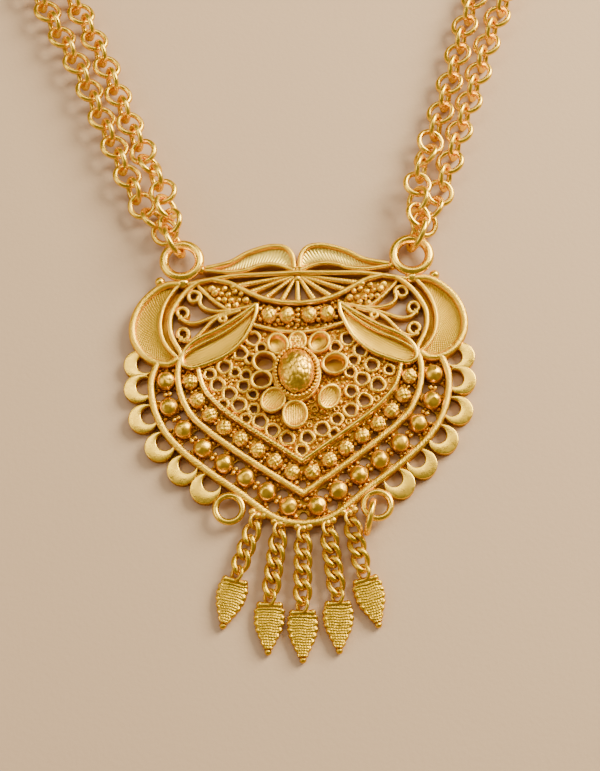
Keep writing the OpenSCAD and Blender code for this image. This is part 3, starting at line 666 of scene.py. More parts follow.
# %% Rims of the fields
across = [standing(whole(name), width, top, 0.4, step=0.12, sides=12, ripple=rope(5, 2.2, 0.08))
          for name, width, top in (("chord", 0.72, 1.9), ("arc", 0.78, 1.9), ("bead wire", 0.62, 1.8))]
rim_shapes = [standing(smooth_lines[name], width, top, 0.4, step=0.12, sides=12, ripple=rope(5, 2.2, 0.04))
              for name, width, top in (("crest lower", 0.66, 1.85), ("wing", 0.78, 1.9),
                                       ("crescent inner", 0.62, 1.85), ("crest upper", 0.74, 1.98),
                                       ("crescent outer", 1.05, 2.0))]
on_pendant("field_rims", joined(across + [on_both_sides(rim_shapes)]), wire_gold)
leaf = smooth_lines["leaf"]
leaf_turn = 5 * 6  # the far tip is the table's sixth row, and the smooth line has six steps a row
upper_half = leaf[:leaf_turn + 1]
inward = -0.95 * np.sin(np.linspace(0, np.pi, len(upper_half))) ** 0.7
leaf_shapes = [standing(leaf, 0.7, 1.95, 0.4),
               standing(shifted(upper_half, inward[:, None]), 0.44, 1.75, 0.4)]
on_pendant("leaf_rims", on_both_sides(leaf_shapes), polished)

# %% Fan rays and scrolls
hub = np.array(ray_hub, float)


def ray(end):
    line = evened(np.array([hub + 0.6 * unit(np.array(end) - hub), end]), 0.08)
    return sweep(lifted(line, 1.1), edgewise(0.98, 0.9, 14), ripple=beaded(0.42, 0.12),
                 taper=np.linspace(0.55, 1, len(line)))


solder = [placed(ball((1.3, 1.2, 1.3), 24, 16, facets(18, 0.04)), [0, 16.75, 1.0]),
          placed(ball((0.9, 1.3, 1.4), 20, 14, facets(18, 0.04)), [0, 18.1, 1.1])]
ray_shapes = solder + [ray([side * x, y]) for x, y in ray_ends for side in ((1, -1) if x else (1,))]
scroll_shapes = [standing(line, 0.64, fine_top + 0.16, 0.2, step=0.1, sides=10, ripple=beaded(0.38, 0.07))
                 for line in fine_lines]
on_pendant("fan_rays", joined(ray_shapes), wire_gold)
on_pendant("scrolls", on_both_sides(scroll_shapes), wire_gold)

# %% [markdown]
# ## The net
# Small rings of beaded wire are set side by side and grains of gold are fused into the corners between
# them. Rings are hoops on short walls. Spots are then tried at random over the net, and each takes the
# largest ring or grain that fits there, which packs the corners as a goldsmith does.

# %% Net rings and their grains
random = np.random.default_rng(7)
net_shapes = []
for x, y, hole in net_rings:
    r = hole / 2 + 0.22
    a = full_turn(44)
    wobble = 1 + 0.04 * np.sin(3 * a + 9 * random.random()) + 0.03 * np.sin(5 * a + 9 * random.random())
    line = [x, y] + (r * wobble)[:, None] * round_at(a)
    net_shapes.append(sweep(lifted(line, 1.0 + 0.06 * np.sin(2 * a + x)), edgewise(0.62, 0.8, 8), closed=True,
                            ripple=beaded(0.43, 0.15)))
on_pendant("net_rings", joined(net_shapes), grain_gold)

# %% Grains and small rings between them
def gap_to(spot, circles):
    """Clear way from a spot to the nearest of some circles, each row x, y and radius."""
    return (np.linalg.norm(circles[:, :2] - spot, axis=1) - circles[:, 2]).min()


def edge_circles(*names):
    spots = np.vstack([evened(line, 0.3) for name in names for line in (smooth_lines[name],
                                                                        smooth_lines[name] * [-1, 1])])
    return np.column_stack([spots, np.full(len(spots), 0.3)])


def scattered(fields, taken, edges, tries, low, high, most, ring_from):
    """Grains up to a largest radius wherever there is room, and a small ring where there is room for one."""
    corners = np.vstack(fields)
    found = random.uniform(corners.min(axis=0), corners.max(axis=0), (tries, 2))
    shapes, taken = [], [list(row) for row in taken]
    for x, y in found[in_any(fields, found)]:
        room_for = min(gap_to([x, y], np.array(taken)), gap_to([x, y], edges), most)
        if room_for > ring_from:
            taken.append([x, y, room_for + 0.02])
            ring = hoop(room_for - 0.17, 0.34, 24, 8, ripple=beaded(0.32, 0.15))
            shapes.append(placed(ring, [x, y, random.uniform(low + 0.1, high)]))
        elif room_for > 0.13:
            taken.append([x, y, room_for])
            shapes.append(placed(ball(2 * room_for + 0.1, 8, 5), [x, y, random.uniform(low, high)]))
    return shapes


net_taken = [[x, y, hole / 2 + 0.42] for x, y, hole in net_rings] + [[*dome_at, 3.6]]
net_taken += [[x, y, d / 2 + 0.05] for x, y, d, _, _ in petals_at] + [[*tilted_at, 1.5]]
filler_shapes = scattered(net_fields, net_taken, edge_circles("inner", "bead wire", "leaf"), 12000, 0.6, 0.95,
                          most=0.62, ring_from=0.46)
on_pendant("net_grains", joined(filler_shapes), grain_gold)
print("small rings and grains in the net:", len(filler_shapes))

# %% Solder grains in the two bands
right_band = [[x, y, 1.15] for x, y in beads] + [[x, y, 1.0] for x, y in grain_beads + top_beads]
right_band += [[*gap_beside(beads, i, off), 0.75] for i in range(7) for off in (-1, 1)]
right_band += [[*gap_beside(grain_beads, i, 0.8), 0.45] for i in range(5)]
band_taken = right_band + [[-x, y, r] for x, y, r in right_band] + [[x, y, 0.5] for x, y in middle_gaps]
solder_shapes = scattered(with_mirrors(band_fields), band_taken,
                          edge_circles("outer", "middle", "inner", "arc", "bead wire"), 9000, 0.42, 0.7,
                          most=0.36, ring_from=1)
on_pendant("band_grains", joined(solder_shapes), grain_gold)
print("grains in the bands:", len(solder_shapes))

# %% [markdown]
# ## Chased fields
# The crescents, the crest leaves and the long petals are sheet worked from the front with small punches. A
# punch leaves real dents, so the surface is stretched between its two rims and pushed up and down by a
# height that depends on the way along and the way across, in millimetres. A bump map would look flat at a
# low angle.

# %% Stretch a sheet between two rims
def stretched_sheet(edge_a, edge_b, cell, height):
    """height takes the way along in mm, the way across in mm and the share across, and gives z."""
    long_way = (ways(edge_a)[-1] + ways(edge_b)[-1]) / 2
    along = int(long_way / cell)
    a, b = (at_ways(edge, np.linspace(0, ways(edge)[-1], along + 1)) for edge in (edge_a, edge_b))
    wide = np.linalg.norm(a - b, axis=1)
    across = int(wide.max() / cell)
    share = np.linspace(0, 1, across + 1)
    xy = a[:, None] * (1 - share)[None, :, None] + b[:, None] * share[None, :, None]
    u = np.linspace(0, long_way, along + 1)[:, None]
    z = height(u, (share - 0.5)[None] * wide[:, None], share[None])
    z = z * np.ones(xy.shape[:2])
    quads = grid_faces(along + 1, across + 1, round_columns=False)
    points = np.concatenate([xy, z[..., None]], axis=2).reshape(-1, 3)
    corner = points[quads[0]]
    if np.cross(corner[1] - corner[0], corner[2] - corner[0])[2] < 0:
        quads = quads[:, ::-1]
    return points, [quads]


def woven(u, w, share):
    """Rows of small punch marks, set like a weave."""
    row = 2 * np.pi / 0.42
    return 1.25 - 0.15 * np.sin(np.pi * share) + 0.08 * np.sin(row * u) * np.sin(row * w)


def fluted(u, w, share):
    return 1.35 - 0.3 * np.sin(np.pi * share) + 0.075 * abs(np.sin(np.pi * u / 0.46))


def lined(u, w, share):
    return 1.3 - 0.3 * np.sin(np.pi * share) + 0.012 * np.sin(2 * np.pi * (w + 0.15 * np.sin(u)) / 0.34)

# %% Chase the crescents, the crest and the long petals
crescents = stretched_sheet(smooth_lines["crescent outer"], smooth_lines["crescent inner"], 0.09, woven)
crest = stretched_sheet(smooth_lines["crest upper"], smooth_lines["crest lower"], 0.08, fluted)
petals = stretched_sheet(leaf[:leaf_turn + 1], leaf[leaf_turn:][::-1], 0.09, lined)
# The fluted crest takes the gold painted paler, as a painted highlight
for name, shape, finish in (("chased_crescents", crescents, chased_gold), ("fluted_crest", crest, painted_highlight_gold),
                            ("long_petals", petals, satin)):
    on_pendant(name, on_both_sides([shape]), finish)

# %% [markdown]
# ## Beads and grains
# A bead is two domes pressed from sheet and soldered, so burnished ones keep soft flats. The grained beads
# are covered with fused grains, like a raspberry. Both are balls pushed in and out by a small field, which
# makes the detail part of the outline, and each is turned a different way so that no two look alike.

# %% Rows of beads
def spun(relief):
    """The same relief, turned a way of its own."""
    about = turned_by(*random.uniform(-180, 180, 3))
    return lambda d: relief(d @ about)


def pressed(seed):
    """A few broad flats on a ball that was never quite round."""
    flats = facets(7, 0.07, seed)
    return lambda d: flats(d) * (1 + 0.018 * np.sin(4 * d[:, 0] + seed) * np.sin(5 * d[:, 1] + 2 * seed))


def bead_row(row, size, z, relief, around=48, up=32):
    """Beads of the right half and of the left, each with a relief of its own number."""
    return [placed(ball(size, around, up, spun(relief(i))), [x, y, z])
            for i, (x, y) in enumerate(row + [[-x, y] for x, y in row])]


bead_shapes = bead_row(beads, (2.7, 2.8, 2.45), 1.24, pressed, 36, 24)
on_pendant("polished_beads", joined(bead_shapes), bead_gold)
grained = bead_row(grain_beads, (2.4, 2.4, 2.3), 1.19, lambda i: bumps(34, 0.15, 0.34, i))
grained += bead_row(top_beads, (2.4, 2.7, 2.3), 1.2, lambda i: bumps(26, 0.14, 0.4, i))
on_pendant("grained_beads", joined(grained), grain_gold)

# %% Grains between the beads and in the strips beside the fan
def hex_spots(outline, spacing, inset):
    found = []
    for row, y in enumerate(np.arange(outline[:, 1].min(), outline[:, 1].max(), spacing * 0.866)):
        for x in np.arange(outline[:, 0].min() + row % 2 * spacing / 2, outline[:, 0].max(), spacing):
            found.append([x, y])
    found = np.array(found)
    edge = evened(np.vstack([outline, outline[:1]]), 0.1)
    clear = np.linalg.norm(found[:, None] - edge[None], axis=2).min(axis=1)
    return found[inside(outline, found) & (clear > inset)]


strip_spots = hex_spots(strip_field, 1.02, 0.42)
strip_shapes = [placed(ball(random.uniform(0.85, 1.4), 16, 11, spun(facets(11, 0.1))),
                       [x + random.normal(0, 0.12), y + random.normal(0, 0.12), random.uniform(0.95, 1.3)])
                for x, y in strip_spots]
between_shapes = []
for row, size, offs in ((beads, 0.72, (-0.32, 0.32)), (grain_beads, 0.5, (-0.3, 0.3))):
    for i in range(len(row) - 1):
        for off in offs:
            x, y = gap_beside(row, i, off)
            between_shapes.append(placed(ball(size, 12, 8), [x, y, random.uniform(0.85, 1.05)]))
between_shapes += [placed(ball(0.75, 14, 10), [x, y, 1.1])
                   for x, y in ((2.9, 10.2), (2.9, 11.1), (2.9, 11.95), (5.5, 10.5), (5.5, 12.1))]
middle_shapes = [placed(ball(0.75, 14, 10), [0, y, 1.1]) for y in (10.1, 10.95, 11.8)]
on_pendant("small_grains", joined(middle_shapes + [on_both_sides(strip_shapes + between_shapes)]), grain_gold)
print("grains in each strip:", len(strip_shapes))

# %% [markdown]
# ## Scallops
# Along the edge sit twelve small crescents cut from thick sheet, filed round at the edges and burnished.
# Each is a disc with a round bite. The outline is followed from horn to horn along both arcs, and the strip
# between them is rounded over at its two edges.

# %% Scallops
def scallop(x, y, bite_x, bite_y, thick=1.4, bevel=0.16):
    middle, bite = np.array([x, y]), np.array([bite_x, bite_y])
    apart = np.linalg.norm(bite - middle)
    r, bite_r = scallop_d / 2, bite_d / 2
    facing = math.atan2(*(middle - bite)[::-1])
    reach = min(1, max(-1, (r * r + apart * apart - bite_r * bite_r) / (2 * r * apart)))
    horn = math.pi - math.acos(reach)
    if apart + bite_r < r:
        horn = math.pi * 0.93
    horn_point = middle + r * round_at(facing + horn)
    bite_horn = (math.atan2(*(horn_point - bite)[::-1]) - facing) % (2 * math.pi)
    steps = 40
    share = np.linspace(-1, 1, steps)
    outer = middle + r * round_at(facing + horn * share)
    inner = bite + bite_r * round_at(facing + bite_horn * share)
    wide = np.linalg.norm(outer - inner, axis=1)[:, None]
    profile = [(1 - math.cos(angle), math.sin(angle)) for angle in np.radians([0, 30, 60, 90])]
    sets = [lifted(inner, 0.2)]
    for inward, up in profile:
        push = np.minimum(bevel * inward, wide * 0.4 * inward)
        sets.append(lifted(inner + push * unit(outer - inner), thick - bevel + bevel * up))
    for inward, up in profile[::-1]:
        push = np.minimum(bevel * inward, wide * 0.4 * inward)
        sets.append(lifted(outer - push * unit(outer - inner), thick - bevel + bevel * up))
    sets.append(lifted(outer, 0.2))
    points, faces = stacked(np.stack(sets, axis=1).reshape(-1, 3), len(sets))
    return points, [np.roll(faces[0], -1, axis=1)] + faces[1:]


scallop_shapes = [scallop(*row, thick=1.38 + 0.04 * (i % 2)) for i, row in enumerate(scallops)]
on_pendant("scallops", on_both_sides(scallop_shapes), polished)

# %% [markdown]
# ## Rosette
# In the middle sits a hammered dome in a bezel, with a row of grains round it and eight petals. Petals are
# small cups: a disc of sheet with a beaded wire round its rim and lines scored in its floor. They are
# turned shapes, so each needs only a radius and height profile.

# %% Dome, bezel and its grains
dome_w, dome_l, dome_top = 5.3, 6.9, 4.7


def oval_line(wide, long, around=80):
    return dome_at + round_at(full_turn(around)) * [wide / 2, long / 2]


blows = unit(directions(140, 2.0) + random.normal(0, 0.1, (140, 3)))
blow_heights = random.uniform(-0.014, 0.014, len(blows))


def hammered(d):
    """Lumps left between the blows of a small hammer, none like the next."""
    away = np.arccos(np.clip(d @ blows.T, -1, 1))
    nearest = away.argmin(axis=1)
    first, second = np.sort(away, axis=1)[:, :2].T
    crease = np.clip((second - first) / 0.26, 0, 1)
    return 0.97 + blow_heights[nearest] * crease + 0.036 * np.sqrt(crease * (2 - crease)) - 0.35 * first ** 2


dome_h = dome_top - 0.06
dome = placed(ball((dome_w + 0.1, dome_l, dome_h), 104, 76, hammered), [*dome_at, 0.06 + dome_h / 2])
on_pendant("dome", dome, bead_gold)


def closed_standing(line, width, top, low, **more):
    z = top - width / 2
    return sweep(lifted(line, z), edgewise(width, z - low), closed=True, **more)


bezel = [closed_standing(oval_line(dome_w + 0.85, dome_l + 0.75), 0.45, 2.6, 0.3),
         closed_standing(oval_line(dome_w + 1.35, dome_l + 1.3), 0.5, 2.05, 0.3, ripple=beaded(0.4, 0.2))]
grain_line = oval_line(dome_w + 0.6, dome_l + 0.5)
grain_line = evened(np.vstack([grain_line, grain_line[:1]]), 0.55)[:-1]
bezel += [placed(ball(0.56, 14, 10), [x, y, 2.75]) for x, y in grain_line]
on_pendant("bezel", joined(bezel), grain_gold)

# %% Petals
def cup(d, top, depth, low, scored=0.34):
    """A petal about the origin: a rim wire, walls and a floor with scored lines. A deep one has no floor."""
    r = d / 2
    wall = 0.36
    shapes = [placed(hoop(r - 0.22, 0.5, 56, 12, ripple=beaded(0.34, 0.08)), [0, 0, top - 0.16])]
    if depth > open_from:
        circle = (r - 0.26) * round_at(full_turn(48))
        return joined(shapes + [closed_standing(circle, 0.36, top - 0.1, low)])
    shapes.append(turned([(0.01, low), (r - 0.12, low), (r - 0.05, top - 0.3), (r - 0.15, top - 0.1),
                          (r - wall, top - 0.1), (r - wall - 0.05, top - depth * 0.6),
                          (r - wall - 0.25, top - depth), (0.01, top - depth + 0.04)], 40))
    for x in np.arange(-r + wall + 0.25, r - wall - 0.1, scored) if scored < d else ():
        half = math.sqrt(max((r - wall - 0.12) ** 2 - x * x, 0.02))
        line = evened(np.array([[x, -half], [x, 0], [x, half]]), 0.3)
        shapes.append(sweep(lifted(line, top - depth + 0.05), oval(0.16, 0.14, 6)))
    return joined(shapes)


def drawn_out(shape, x=1, y=1, z=1):
    return shape[0] * [x, y, z], shape[1]


petal_shapes = []
for x, y, d, depth, scored in petals_at:
    outward = math.degrees(math.atan2(y - dome_at[1], x - dome_at[0]))
    petal = drawn_out(cup(d, 2.3, depth, 0.3, scored), y=1.16)
    petal_shapes.append(placed(petal, [x, y, 0], turned_by(z=outward - 90)))
tilted = placed(drawn_out(cup(3.2, 1.3, 0.4, 0), y=1.25), [*tilted_at, 1.6], turned_by(0, 24, -35))
post = placed(turned([(0.01, 0.3), (0.8, 0.3), (0.8, 1.9), (0.01, 1.9)], 24),
              [tilted_at[0] - 0.2, tilted_at[1], 0])
petal_shapes += [tilted, post]
petal_shapes += [placed(ball(random.uniform(0.35, 0.6), 12, 8), [*(rough_patch_at + spot), 2.02])
                 for spot in random.normal(0, 0.55, (60, 2)) if np.linalg.norm(spot) < 1.05]
on_pendant("petals", joined(petal_shapes), wire_gold)

# %% [markdown]
# ## Rings and tabs of the pendant
# Two stout rings at the top take the chains, two flatter ones below are spare, and five tabs with wire eyes
# carry the tassels. They are hoops of round wire on small feet of solder.

# %% Rings, feet and tabs
top_ring_at, top_ring_r = [16.85, 19.85], 2.6
low_ring_at, low_ring_r = [10.1, -17.6], 1.85
top_ring = placed(hoop(top_ring_r, 1.36, 72, 24, tall=1.3), [*top_ring_at, 1.7])
ring_feet = [placed(ball((2.1, 1.9, 1.7), 24, 14, facets(20, 0.03)), [16.75, 16.5, 1.1]),
             placed(ball((1.5, 1.4, 1.5), 20, 12), [14, 18.55, 1.05]),
             placed(ball((1.5, 1.5, 1.5), 24, 16, facets(24, 0.03)), [20.05, 16.75, 1.15])]
low_ring = placed(hoop(low_ring_r, 0.9, 56, 16, tall=1.0), [*low_ring_at, 1.55])
on_pendant("pendant_rings", on_both_sides([top_ring, low_ring] + ring_feet), polished)

# Tassels from left to right: x and y of the eye, lean of the chain, links, lean of the drop, link to link
tassels = [[-6.5, -19.3, 20, 3, 16, 2.1], [-3.3, -20.6, 9, 4, 3, 1.95], [-0.1, -21.3, 2, 4, 1, 2.06],
           [3.3, -20.6, -6, 4, 0, 1.95], [6.4, -19.3, -11, 3, -14, 2.1]]
eye_r, eye_wire = 0.95, 0.5
eye_to_link = 1.695
curb_z = 1.213

plate = np.array([[-1.25, 1.7], [-0.7, 0.6], [0.7, 0.6], [1.25, 1.7]])
tab_plate = stacked(np.vstack([lifted(plate, 0.3), lifted(plate, 1.25)]), len(plate))
tab_grains = [[-0.8, 1, 1.15], [0.8, 1, 1.1], [0, 0.75, 1.1], [-0.35, 1.45, 0.8], [0.45, 1.5, 0.8]]

tab_shapes = []
for x, y, lean, *_ in tassels:
    about = turned_by(z=-lean)
    tab_shapes.append(placed(tab_plate, [x, y, 0], about))
    eye = placed(hoop(eye_r, eye_wire, 32, 10), [0, 0, curb_z], turned_by(y=45))
    tab_shapes.append(placed(eye, [x, y, 0], about))
    for gx, gy, size in tab_grains:
        grain = ball(size, 18, 12, facets(16, 0.06, gx + x))
        tab_shapes.append(placed(placed(grain, [gx, gy, 1.38]), [x, y, 0], about))
on_pendant("tassel_tabs", joined(tab_shapes), grain_gold)

# %% [markdown]
# # Chains
# All links are real rings, each through the next. Two strands leave each top ring on one jump ring, round
# the neck to the clasp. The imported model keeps 36 real links a strand and stands a plain tube in for the
# rest. Here the links go on along the same line, each turned square to the last, so the chain is a chain
# all the way.

# %% Lines of the strands, the same as in the solids
link_r, link_wire, link_pitch, front_links = 1.8, 0.7, 2.75, 36
roll = 18
chain_z = link_r * math.cos(math.radians(roll)) + link_wire / 2
strand_gap = 4.5
left_route = [[-18.92, 24.92], [-22.7, 33], [-27, 43.3], [-31.4, 54.4], [-36.4, 64.8], [-45, 82], [-56, 104],
              [-63, 128], [-60, 152], [-44, 170], [-22, 178], [-6, 179]]
right_route = [[18.53, 25.06], [20.2, 31.2], [23.7, 41.3], [27.2, 51.5], [30.6, 61.7], [40, 82], [53, 104],
               [61, 128], [59, 152], [44, 170], [22, 178], [6, 179]]
# Half the distance between two strands, and their heights where they leave the jump ring, by way in mm
spread = [[0, 0.52], [6, 1.91], [18, 1.78], [30, 1.95], [40, strand_gap / 2], [400, strand_gap / 2]]
low_start = [[0, 1.61], [7.76, chain_z], [400, chain_z]]
high_start = [[0, 3.8], [9, 2.91], [13, 2.17], [18, chain_z], [400, chain_z]]
# Turns of the first links of a strand about its line, in degrees, as the photograph shows them
outer_first = [-21.6, 45.8, 173.2, 291]
inner_first = [-30.8, -130.7, -188, -253.1, -312.3, -13]


def looked_up(s, rows):
    rows = np.array(rows)
    return np.interp(s, rows[:, 0], rows[:, 1])


def strand_line(route, side, heights):
    middle = smooth_line(route, 6)
    way = ways(middle)
    around = np.vstack([middle[:1], middle, middle[-1:]])
    ahead = unit(around[2:] - around[:-2])
    aside = np.column_stack([-ahead[:, 1], ahead[:, 0]])
    return lifted(middle + side * looked_up(way, spread)[:, None] * aside, looked_up(way, heights) + 0.06)


def outer_turn(i):
    return outer_first[i] if i < len(outer_first) else roll + 90 * i


def inner_turn(i):
    return inner_first[i] if i < len(inner_first) else roll + 90 * (i - 5)


def link_at(line, s, turn, shape):
    p = at_ways(line, s)
    ahead = at_ways(line, s + 0.5) - at_ways(line, max(s - 0.5, 0))
    yaw = math.degrees(math.atan2(ahead[1], ahead[0]))
    pitch = -math.degrees(math.atan2(ahead[2], math.hypot(ahead[0], ahead[1])))
    return placed(shape, p, turned_by(turn, pitch, yaw))

# %% Strands and the rest of each
shown_wire = 0.82
link = hoop(link_r, shown_wire, 36, 12)
back_link = hoop(link_r, shown_wire, 26, 8)
for name, route, side, heights, hand, turn_of in (
        ("left_outer", left_route, 1, low_start, 1, outer_turn),
        ("left_inner", left_route, -1, high_start, 1, inner_turn),
        ("right_outer", right_route, -1, low_start, -1, outer_turn),
        ("right_inner", right_route, 1, high_start, -1, inner_turn)):
    line = strand_line(route, side, heights)
    front = [link_at(line, i * link_pitch, hand * turn_of(i), link) for i in range(front_links)]
    make_piece("chain_" + name, joined(front), chain_metal, "chain_gold", "strand_" + name)
    start = (front_links - 1) * link_pitch
    rest = ways(line)[-1] - 0.45 - start
    # An even count, which sets an outer strand's last link square to its eye, at a step that clears the wires
    count = 2 * math.ceil(rest / (2 * link_r - shown_wire) / 2)
    step = rest / count
    back = [link_at(line, start + k * step, hand * turn_of(front_links - 1 + k), back_link)
            for k in range(1, count + 1)]
    make_piece("chain_back_" + name, joined(back), chain_metal, "chain_gold", "back_" + name)
    print(name, "links:", front_links + count, "step of the rest:", round(step, 3))

# %% Jump rings and the spare ring
jump_r, jump_wire, jump_lean = 2.39, 0.9, 20
jump_z = jump_r * math.cos(math.radians(jump_lean)) + jump_wire / 2
jump_hoop = hoop(jump_r, jump_wire, 64, 18)
for name, side, way in (("left", -1, 112), ("right", 1, 72)):
    at = top_ring_at * np.array([side, 1]) + (top_ring_r + 0.35) * round_at(math.radians(way))
    about = turned_by(z=way) @ turned_by(x=90 + side * jump_lean)
    make_piece("jump_" + name, placed(jump_hoop, [*at, jump_z], about), polished, "chain_gold",
               "jump_ring_" + name)
spare_r, spare_wire, spare_way, spare_yaw = 2.175, 0.88, -120, 76
spare_at = low_ring_at + 2.2 * round_at(math.radians(spare_way))
make_piece("spare_ring", placed(hoop(spare_r, spare_wire, 64, 16), [*spare_at, spare_r + spare_wire / 2],
                                turned_by(90, 0, spare_yaw)),
           polished, "chain_gold", "loose_jump_ring")

# %% [markdown]
# ## Clasp
# Behind the neck, out of the photograph, the four strands meet in one drum clasp with two eyes a side. It
# is a plain turned box with a beaded wire round its edge, the usual closed shape for a necklace of this
# kind.

# %% Clasp
clasp_profile = [(0.01, 0.0), (4.1, 0.0), (4.4, 0.12), (4.5, 0.4), (4.5, 2.4), (4.4, 2.65), (4.1, 2.74),
                 (3.4, 2.7), (3.2, 2.55), (2.4, 2.62), (1.2, 2.74), (0.01, 2.78)]
clasp_shapes = [turned(clasp_profile, 72)]
clasp_shapes += [placed(hoop(4.2, 0.4, 96, 10, ripple=beaded(0.45, 0.25)), [0, 0, 2.58])]
for side in (-1, 1):
    for y in (-strand_gap / 2, strand_gap / 2):
        clasp_shapes.append(placed(hoop(eye_r, eye_wire, 36, 12), [side * 4.6, y, chain_z]))
make_piece("drum_clasp", placed(joined(clasp_shapes), [0, clasp_y, 0]), polished, "chain_gold", "clasp")

# %% [markdown]
# # Tassels
# Five short curb chains each end in a pressed drop. A curb link is twisted along its length, so that the
# chain lies flat and its links pack close. The drops are kites with ribs pressed across them, a coiled
# edge, a bar at the top and a ball at the tip.

# %% Curb chains
def curb_line(long=1.5, wide=0.93, twist=52, around=44):
    """A link twisted along its length, so that it lies flat and still passes square through the next."""
    a = full_turn(around)
    lean = np.radians(twist) * np.cos(a)
    aside = wide * np.sin(a)
    return np.column_stack([aside * np.cos(lean), long * np.cos(a), aside * np.sin(lean)])


curb_link = sweep(curb_line(), oval(0.78, 0.78, 16), closed=True)
for number, (x, y, lean, count, _, step) in enumerate(tassels, 1):
    links = [placed(curb_link, [0, -eye_to_link - i * step, curb_z]) for i in range(count)]
    make_piece(f"curb_chain_{number}", placed(joined(links), [x, y, 0], turned_by(z=-lean)), tassel_metal,
               "tassel_gold", f"tassel_{number}")

# %% Drops
drop_w, drop_l, ball_d = 4.0, 5.7, 0.95
drop_sides = [[0, 0.42], [0.7, 0.5], [2.2, 0.5], [3.4, 0.42], [4.6, 0.27], [drop_l, 0.14]]
coil = 0.85


def drop_body(seed):
    """A kite from y = 0 down to the tip: rows of closed sections, ribbed on top and coiled at the sides."""
    rows, over, under = 108, 60, 24
    around = over + under
    flat = np.sin(np.pi / 2 * np.concatenate([np.linspace(1, -1, over, endpoint=False),
                                              np.linspace(-1, 1, under, endpoint=False)]))
    tall = (1 - np.minimum(abs(flat), 1) ** 3.3) ** 0.25
    on_top = np.arange(around) < over
    edge = np.clip((abs(flat) - 0.7) / 0.12, 0, 1)
    points = []
    for y in np.linspace(0, drop_l, rows):
        lump = abs(math.sin(math.pi * y / coil + seed))
        half = drop_w * looked_up(y, drop_sides) + 0.1 - 0.2 * (1 - lump)
        x = half * flat
        waver = 0.06 * np.sin(1.7 * x + seed) + 0.03 * np.sin(4.1 * x + 1.3 * y + 2 * seed)
        weave = 0.35 + 0.65 * abs(np.sin(np.pi * (x + 0.1 * np.sin(3 * y + seed)) / 0.36))
        ribs = 0.09 * abs(np.sin(np.pi * (y + waver) / 0.36)) * weave
        relief = (1 - edge) * ribs + edge * (0.02 + 0.14 * lump) + 0.12 * math.exp(-((y - 0.45) / 0.22) ** 2)
        z = np.where(on_top, 0.6 + (0.56 + relief) * tall, 0.6 - 0.56 * tall)
        points.append(np.column_stack([x, np.full(around, -y), z]))
    return stacked(np.vstack(points), around)


for number, (x, y, lean, count, drop_lean, step) in enumerate(tassels, 1):
    far = 2 * eye_to_link + (count - 1) * step
    way = math.radians(-90 - lean)
    top = eye_r + 0.1
    bar = np.array([[-1.3, -top + 0.02], [0, -top + 0.02], [1.3, -top + 0.02]])
    shapes = [placed(hoop(eye_r, eye_wire, 36, 12), [0, 0, curb_z], turned_by(y=-45)),
              placed(drop_body(number), [0, -top, 0]),
              sweep(lifted(evened(bar, 0.15), 0.85), oval(0.85, 1.25, 16)),
              placed(ball(ball_d, 24, 16), [0, -top - drop_l - ball_d * 0.35, ball_d / 2 + 0.02])]
    shapes += [placed(ball((0.9, 1.0, 1.3), 18, 12), [side * 1.35, -top + 0.02, 0.85]) for side in (-1, 1)]
    place = [x + far * math.cos(way), y + far * math.sin(way), 0]
    make_piece(f"ribbed_drop_{number}", placed(joined(shapes), place, turned_by(z=-drop_lean)), tassel_metal,
               "tassel_gold", f"drop_{number}")

# %% [markdown]
# # Floor, light and camera
# Gold shows what is round it. A plain warm floor, one large soft light from the upper right, a weaker one
# from the left and a dim room give the bright edges and the brown hollows of jewellery lit by a window.

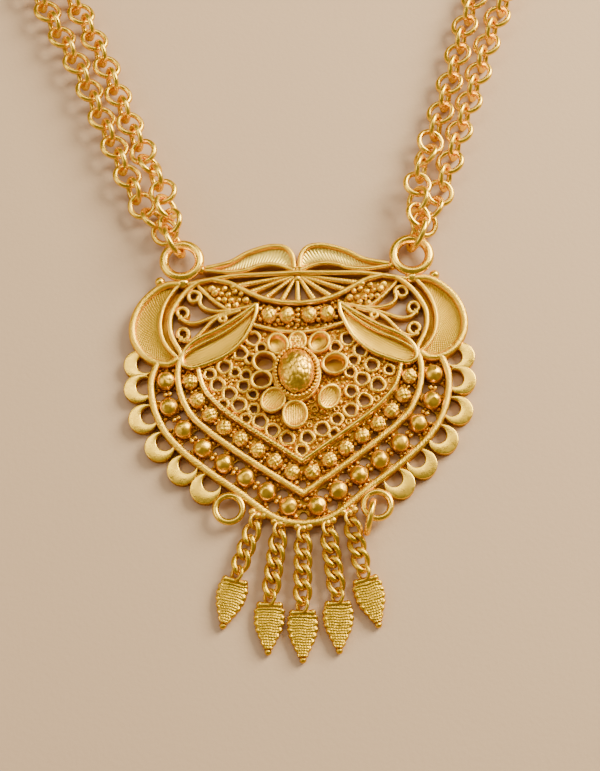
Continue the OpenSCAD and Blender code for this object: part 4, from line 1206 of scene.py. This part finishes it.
# %% Floor
floor_mesh = bpy.data.meshes.new("floor")
floor_mesh.from_pydata([(-2, -2, 0), (2, -2, 0), (2, 2, 0), (-2, 2, 0)], [], [(0, 1, 2, 3)])
floor = bpy.data.objects.new("floor", floor_mesh)
bpy.context.scene.collection.objects.link(floor)
paper = bpy.data.materials.new("pale card")
paper.use_nodes = True
tree = paper.node_tree
tree.nodes.clear()
place = add(tree, "ShaderNodeTexCoord")
fibre = noise(tree, place, 1500, 4)
cloud = noise(tree, place, 12, 2)
colour = add(tree, "ShaderNodeMix", [("Factor", cloud.outputs["Fac"]), (6, (0.603, 0.415, 0.272, 1)),
                                     (7, (0.647, 0.449, 0.296, 1))], data_type="RGBA")
bump = add(tree, "ShaderNodeBump", [("Strength", 0.3), ("Distance", 0.1 * mm),
                                    ("Height", fibre.outputs["Fac"])])
card = add(tree, "ShaderNodeBsdfPrincipled", [("Base Color", colour.outputs[2]), ("Roughness", 0.75),
                                              ("Normal", bump.outputs["Normal"])])
add(tree, "ShaderNodeOutputMaterial", [("Surface", card.outputs["BSDF"])])
floor_mesh.materials.append(paper)

# %% Lights
def soft_light(name, at, aim, size, watts, colour):
    data = bpy.data.lights.new(name, "AREA")
    data.shape = "RECTANGLE"
    data.size, data.size_y = size
    data.energy = watts
    data.color = colour
    lamp = bpy.data.objects.new(name, data)
    lamp.location = at
    lamp.rotation_euler = (Vector(aim) - Vector(at)).to_track_quat("-Z", "Y").to_euler()
    bpy.context.scene.collection.objects.link(lamp)


pendant_at = tuple(home * mm)
soft_light("window", (0.38, 0.2, 0.29), pendant_at, (0.3, 0.3), 7.4, (1, 0.93, 0.72))
soft_light("fill", (-0.4, -0.1, 0.3), pendant_at, (0.3, 0.3), 0.8, (1, 0.92, 0.76))
soft_light("top", (-0.05, 0.16, 0.5), pendant_at, (0.5, 0.12), 1.1, (1, 0.93, 0.74))
room = bpy.data.worlds.new("room")
room.use_nodes = True
room.node_tree.nodes["Background"].inputs["Color"].default_value = (0.5, 0.43, 0.35, 1)
room.node_tree.nodes["Background"].inputs["Strength"].default_value = 0.48
bpy.context.scene.world = room

# %% Camera
aim = (home + [0, 0, 1.5]) * mm
rise, tip = math.radians(70), math.radians(1.5)
forward = Vector((0, math.cos(rise), -math.sin(rise)))
upward = Vector((0, math.sin(rise), math.cos(rise)))
right = Vector((1, 0, 0))
right, upward = (math.cos(tip) * right - math.sin(tip) * upward,
                 math.sin(tip) * right + math.cos(tip) * upward)
lens = bpy.data.cameras.new("camera")
lens.sensor_fit = "VERTICAL"
lens.sensor_height = 36
lens.lens = 36 * 1204 / 771
lens.clip_start = 0.01
camera = bpy.data.objects.new("camera", lens)
camera.matrix_world = Matrix.Translation(Vector(aim) - 0.17 * forward) @ Matrix(
    (right, upward, -forward)).transposed().to_4x4()
bpy.context.scene.collection.objects.link(camera)
bpy.context.scene.camera = camera
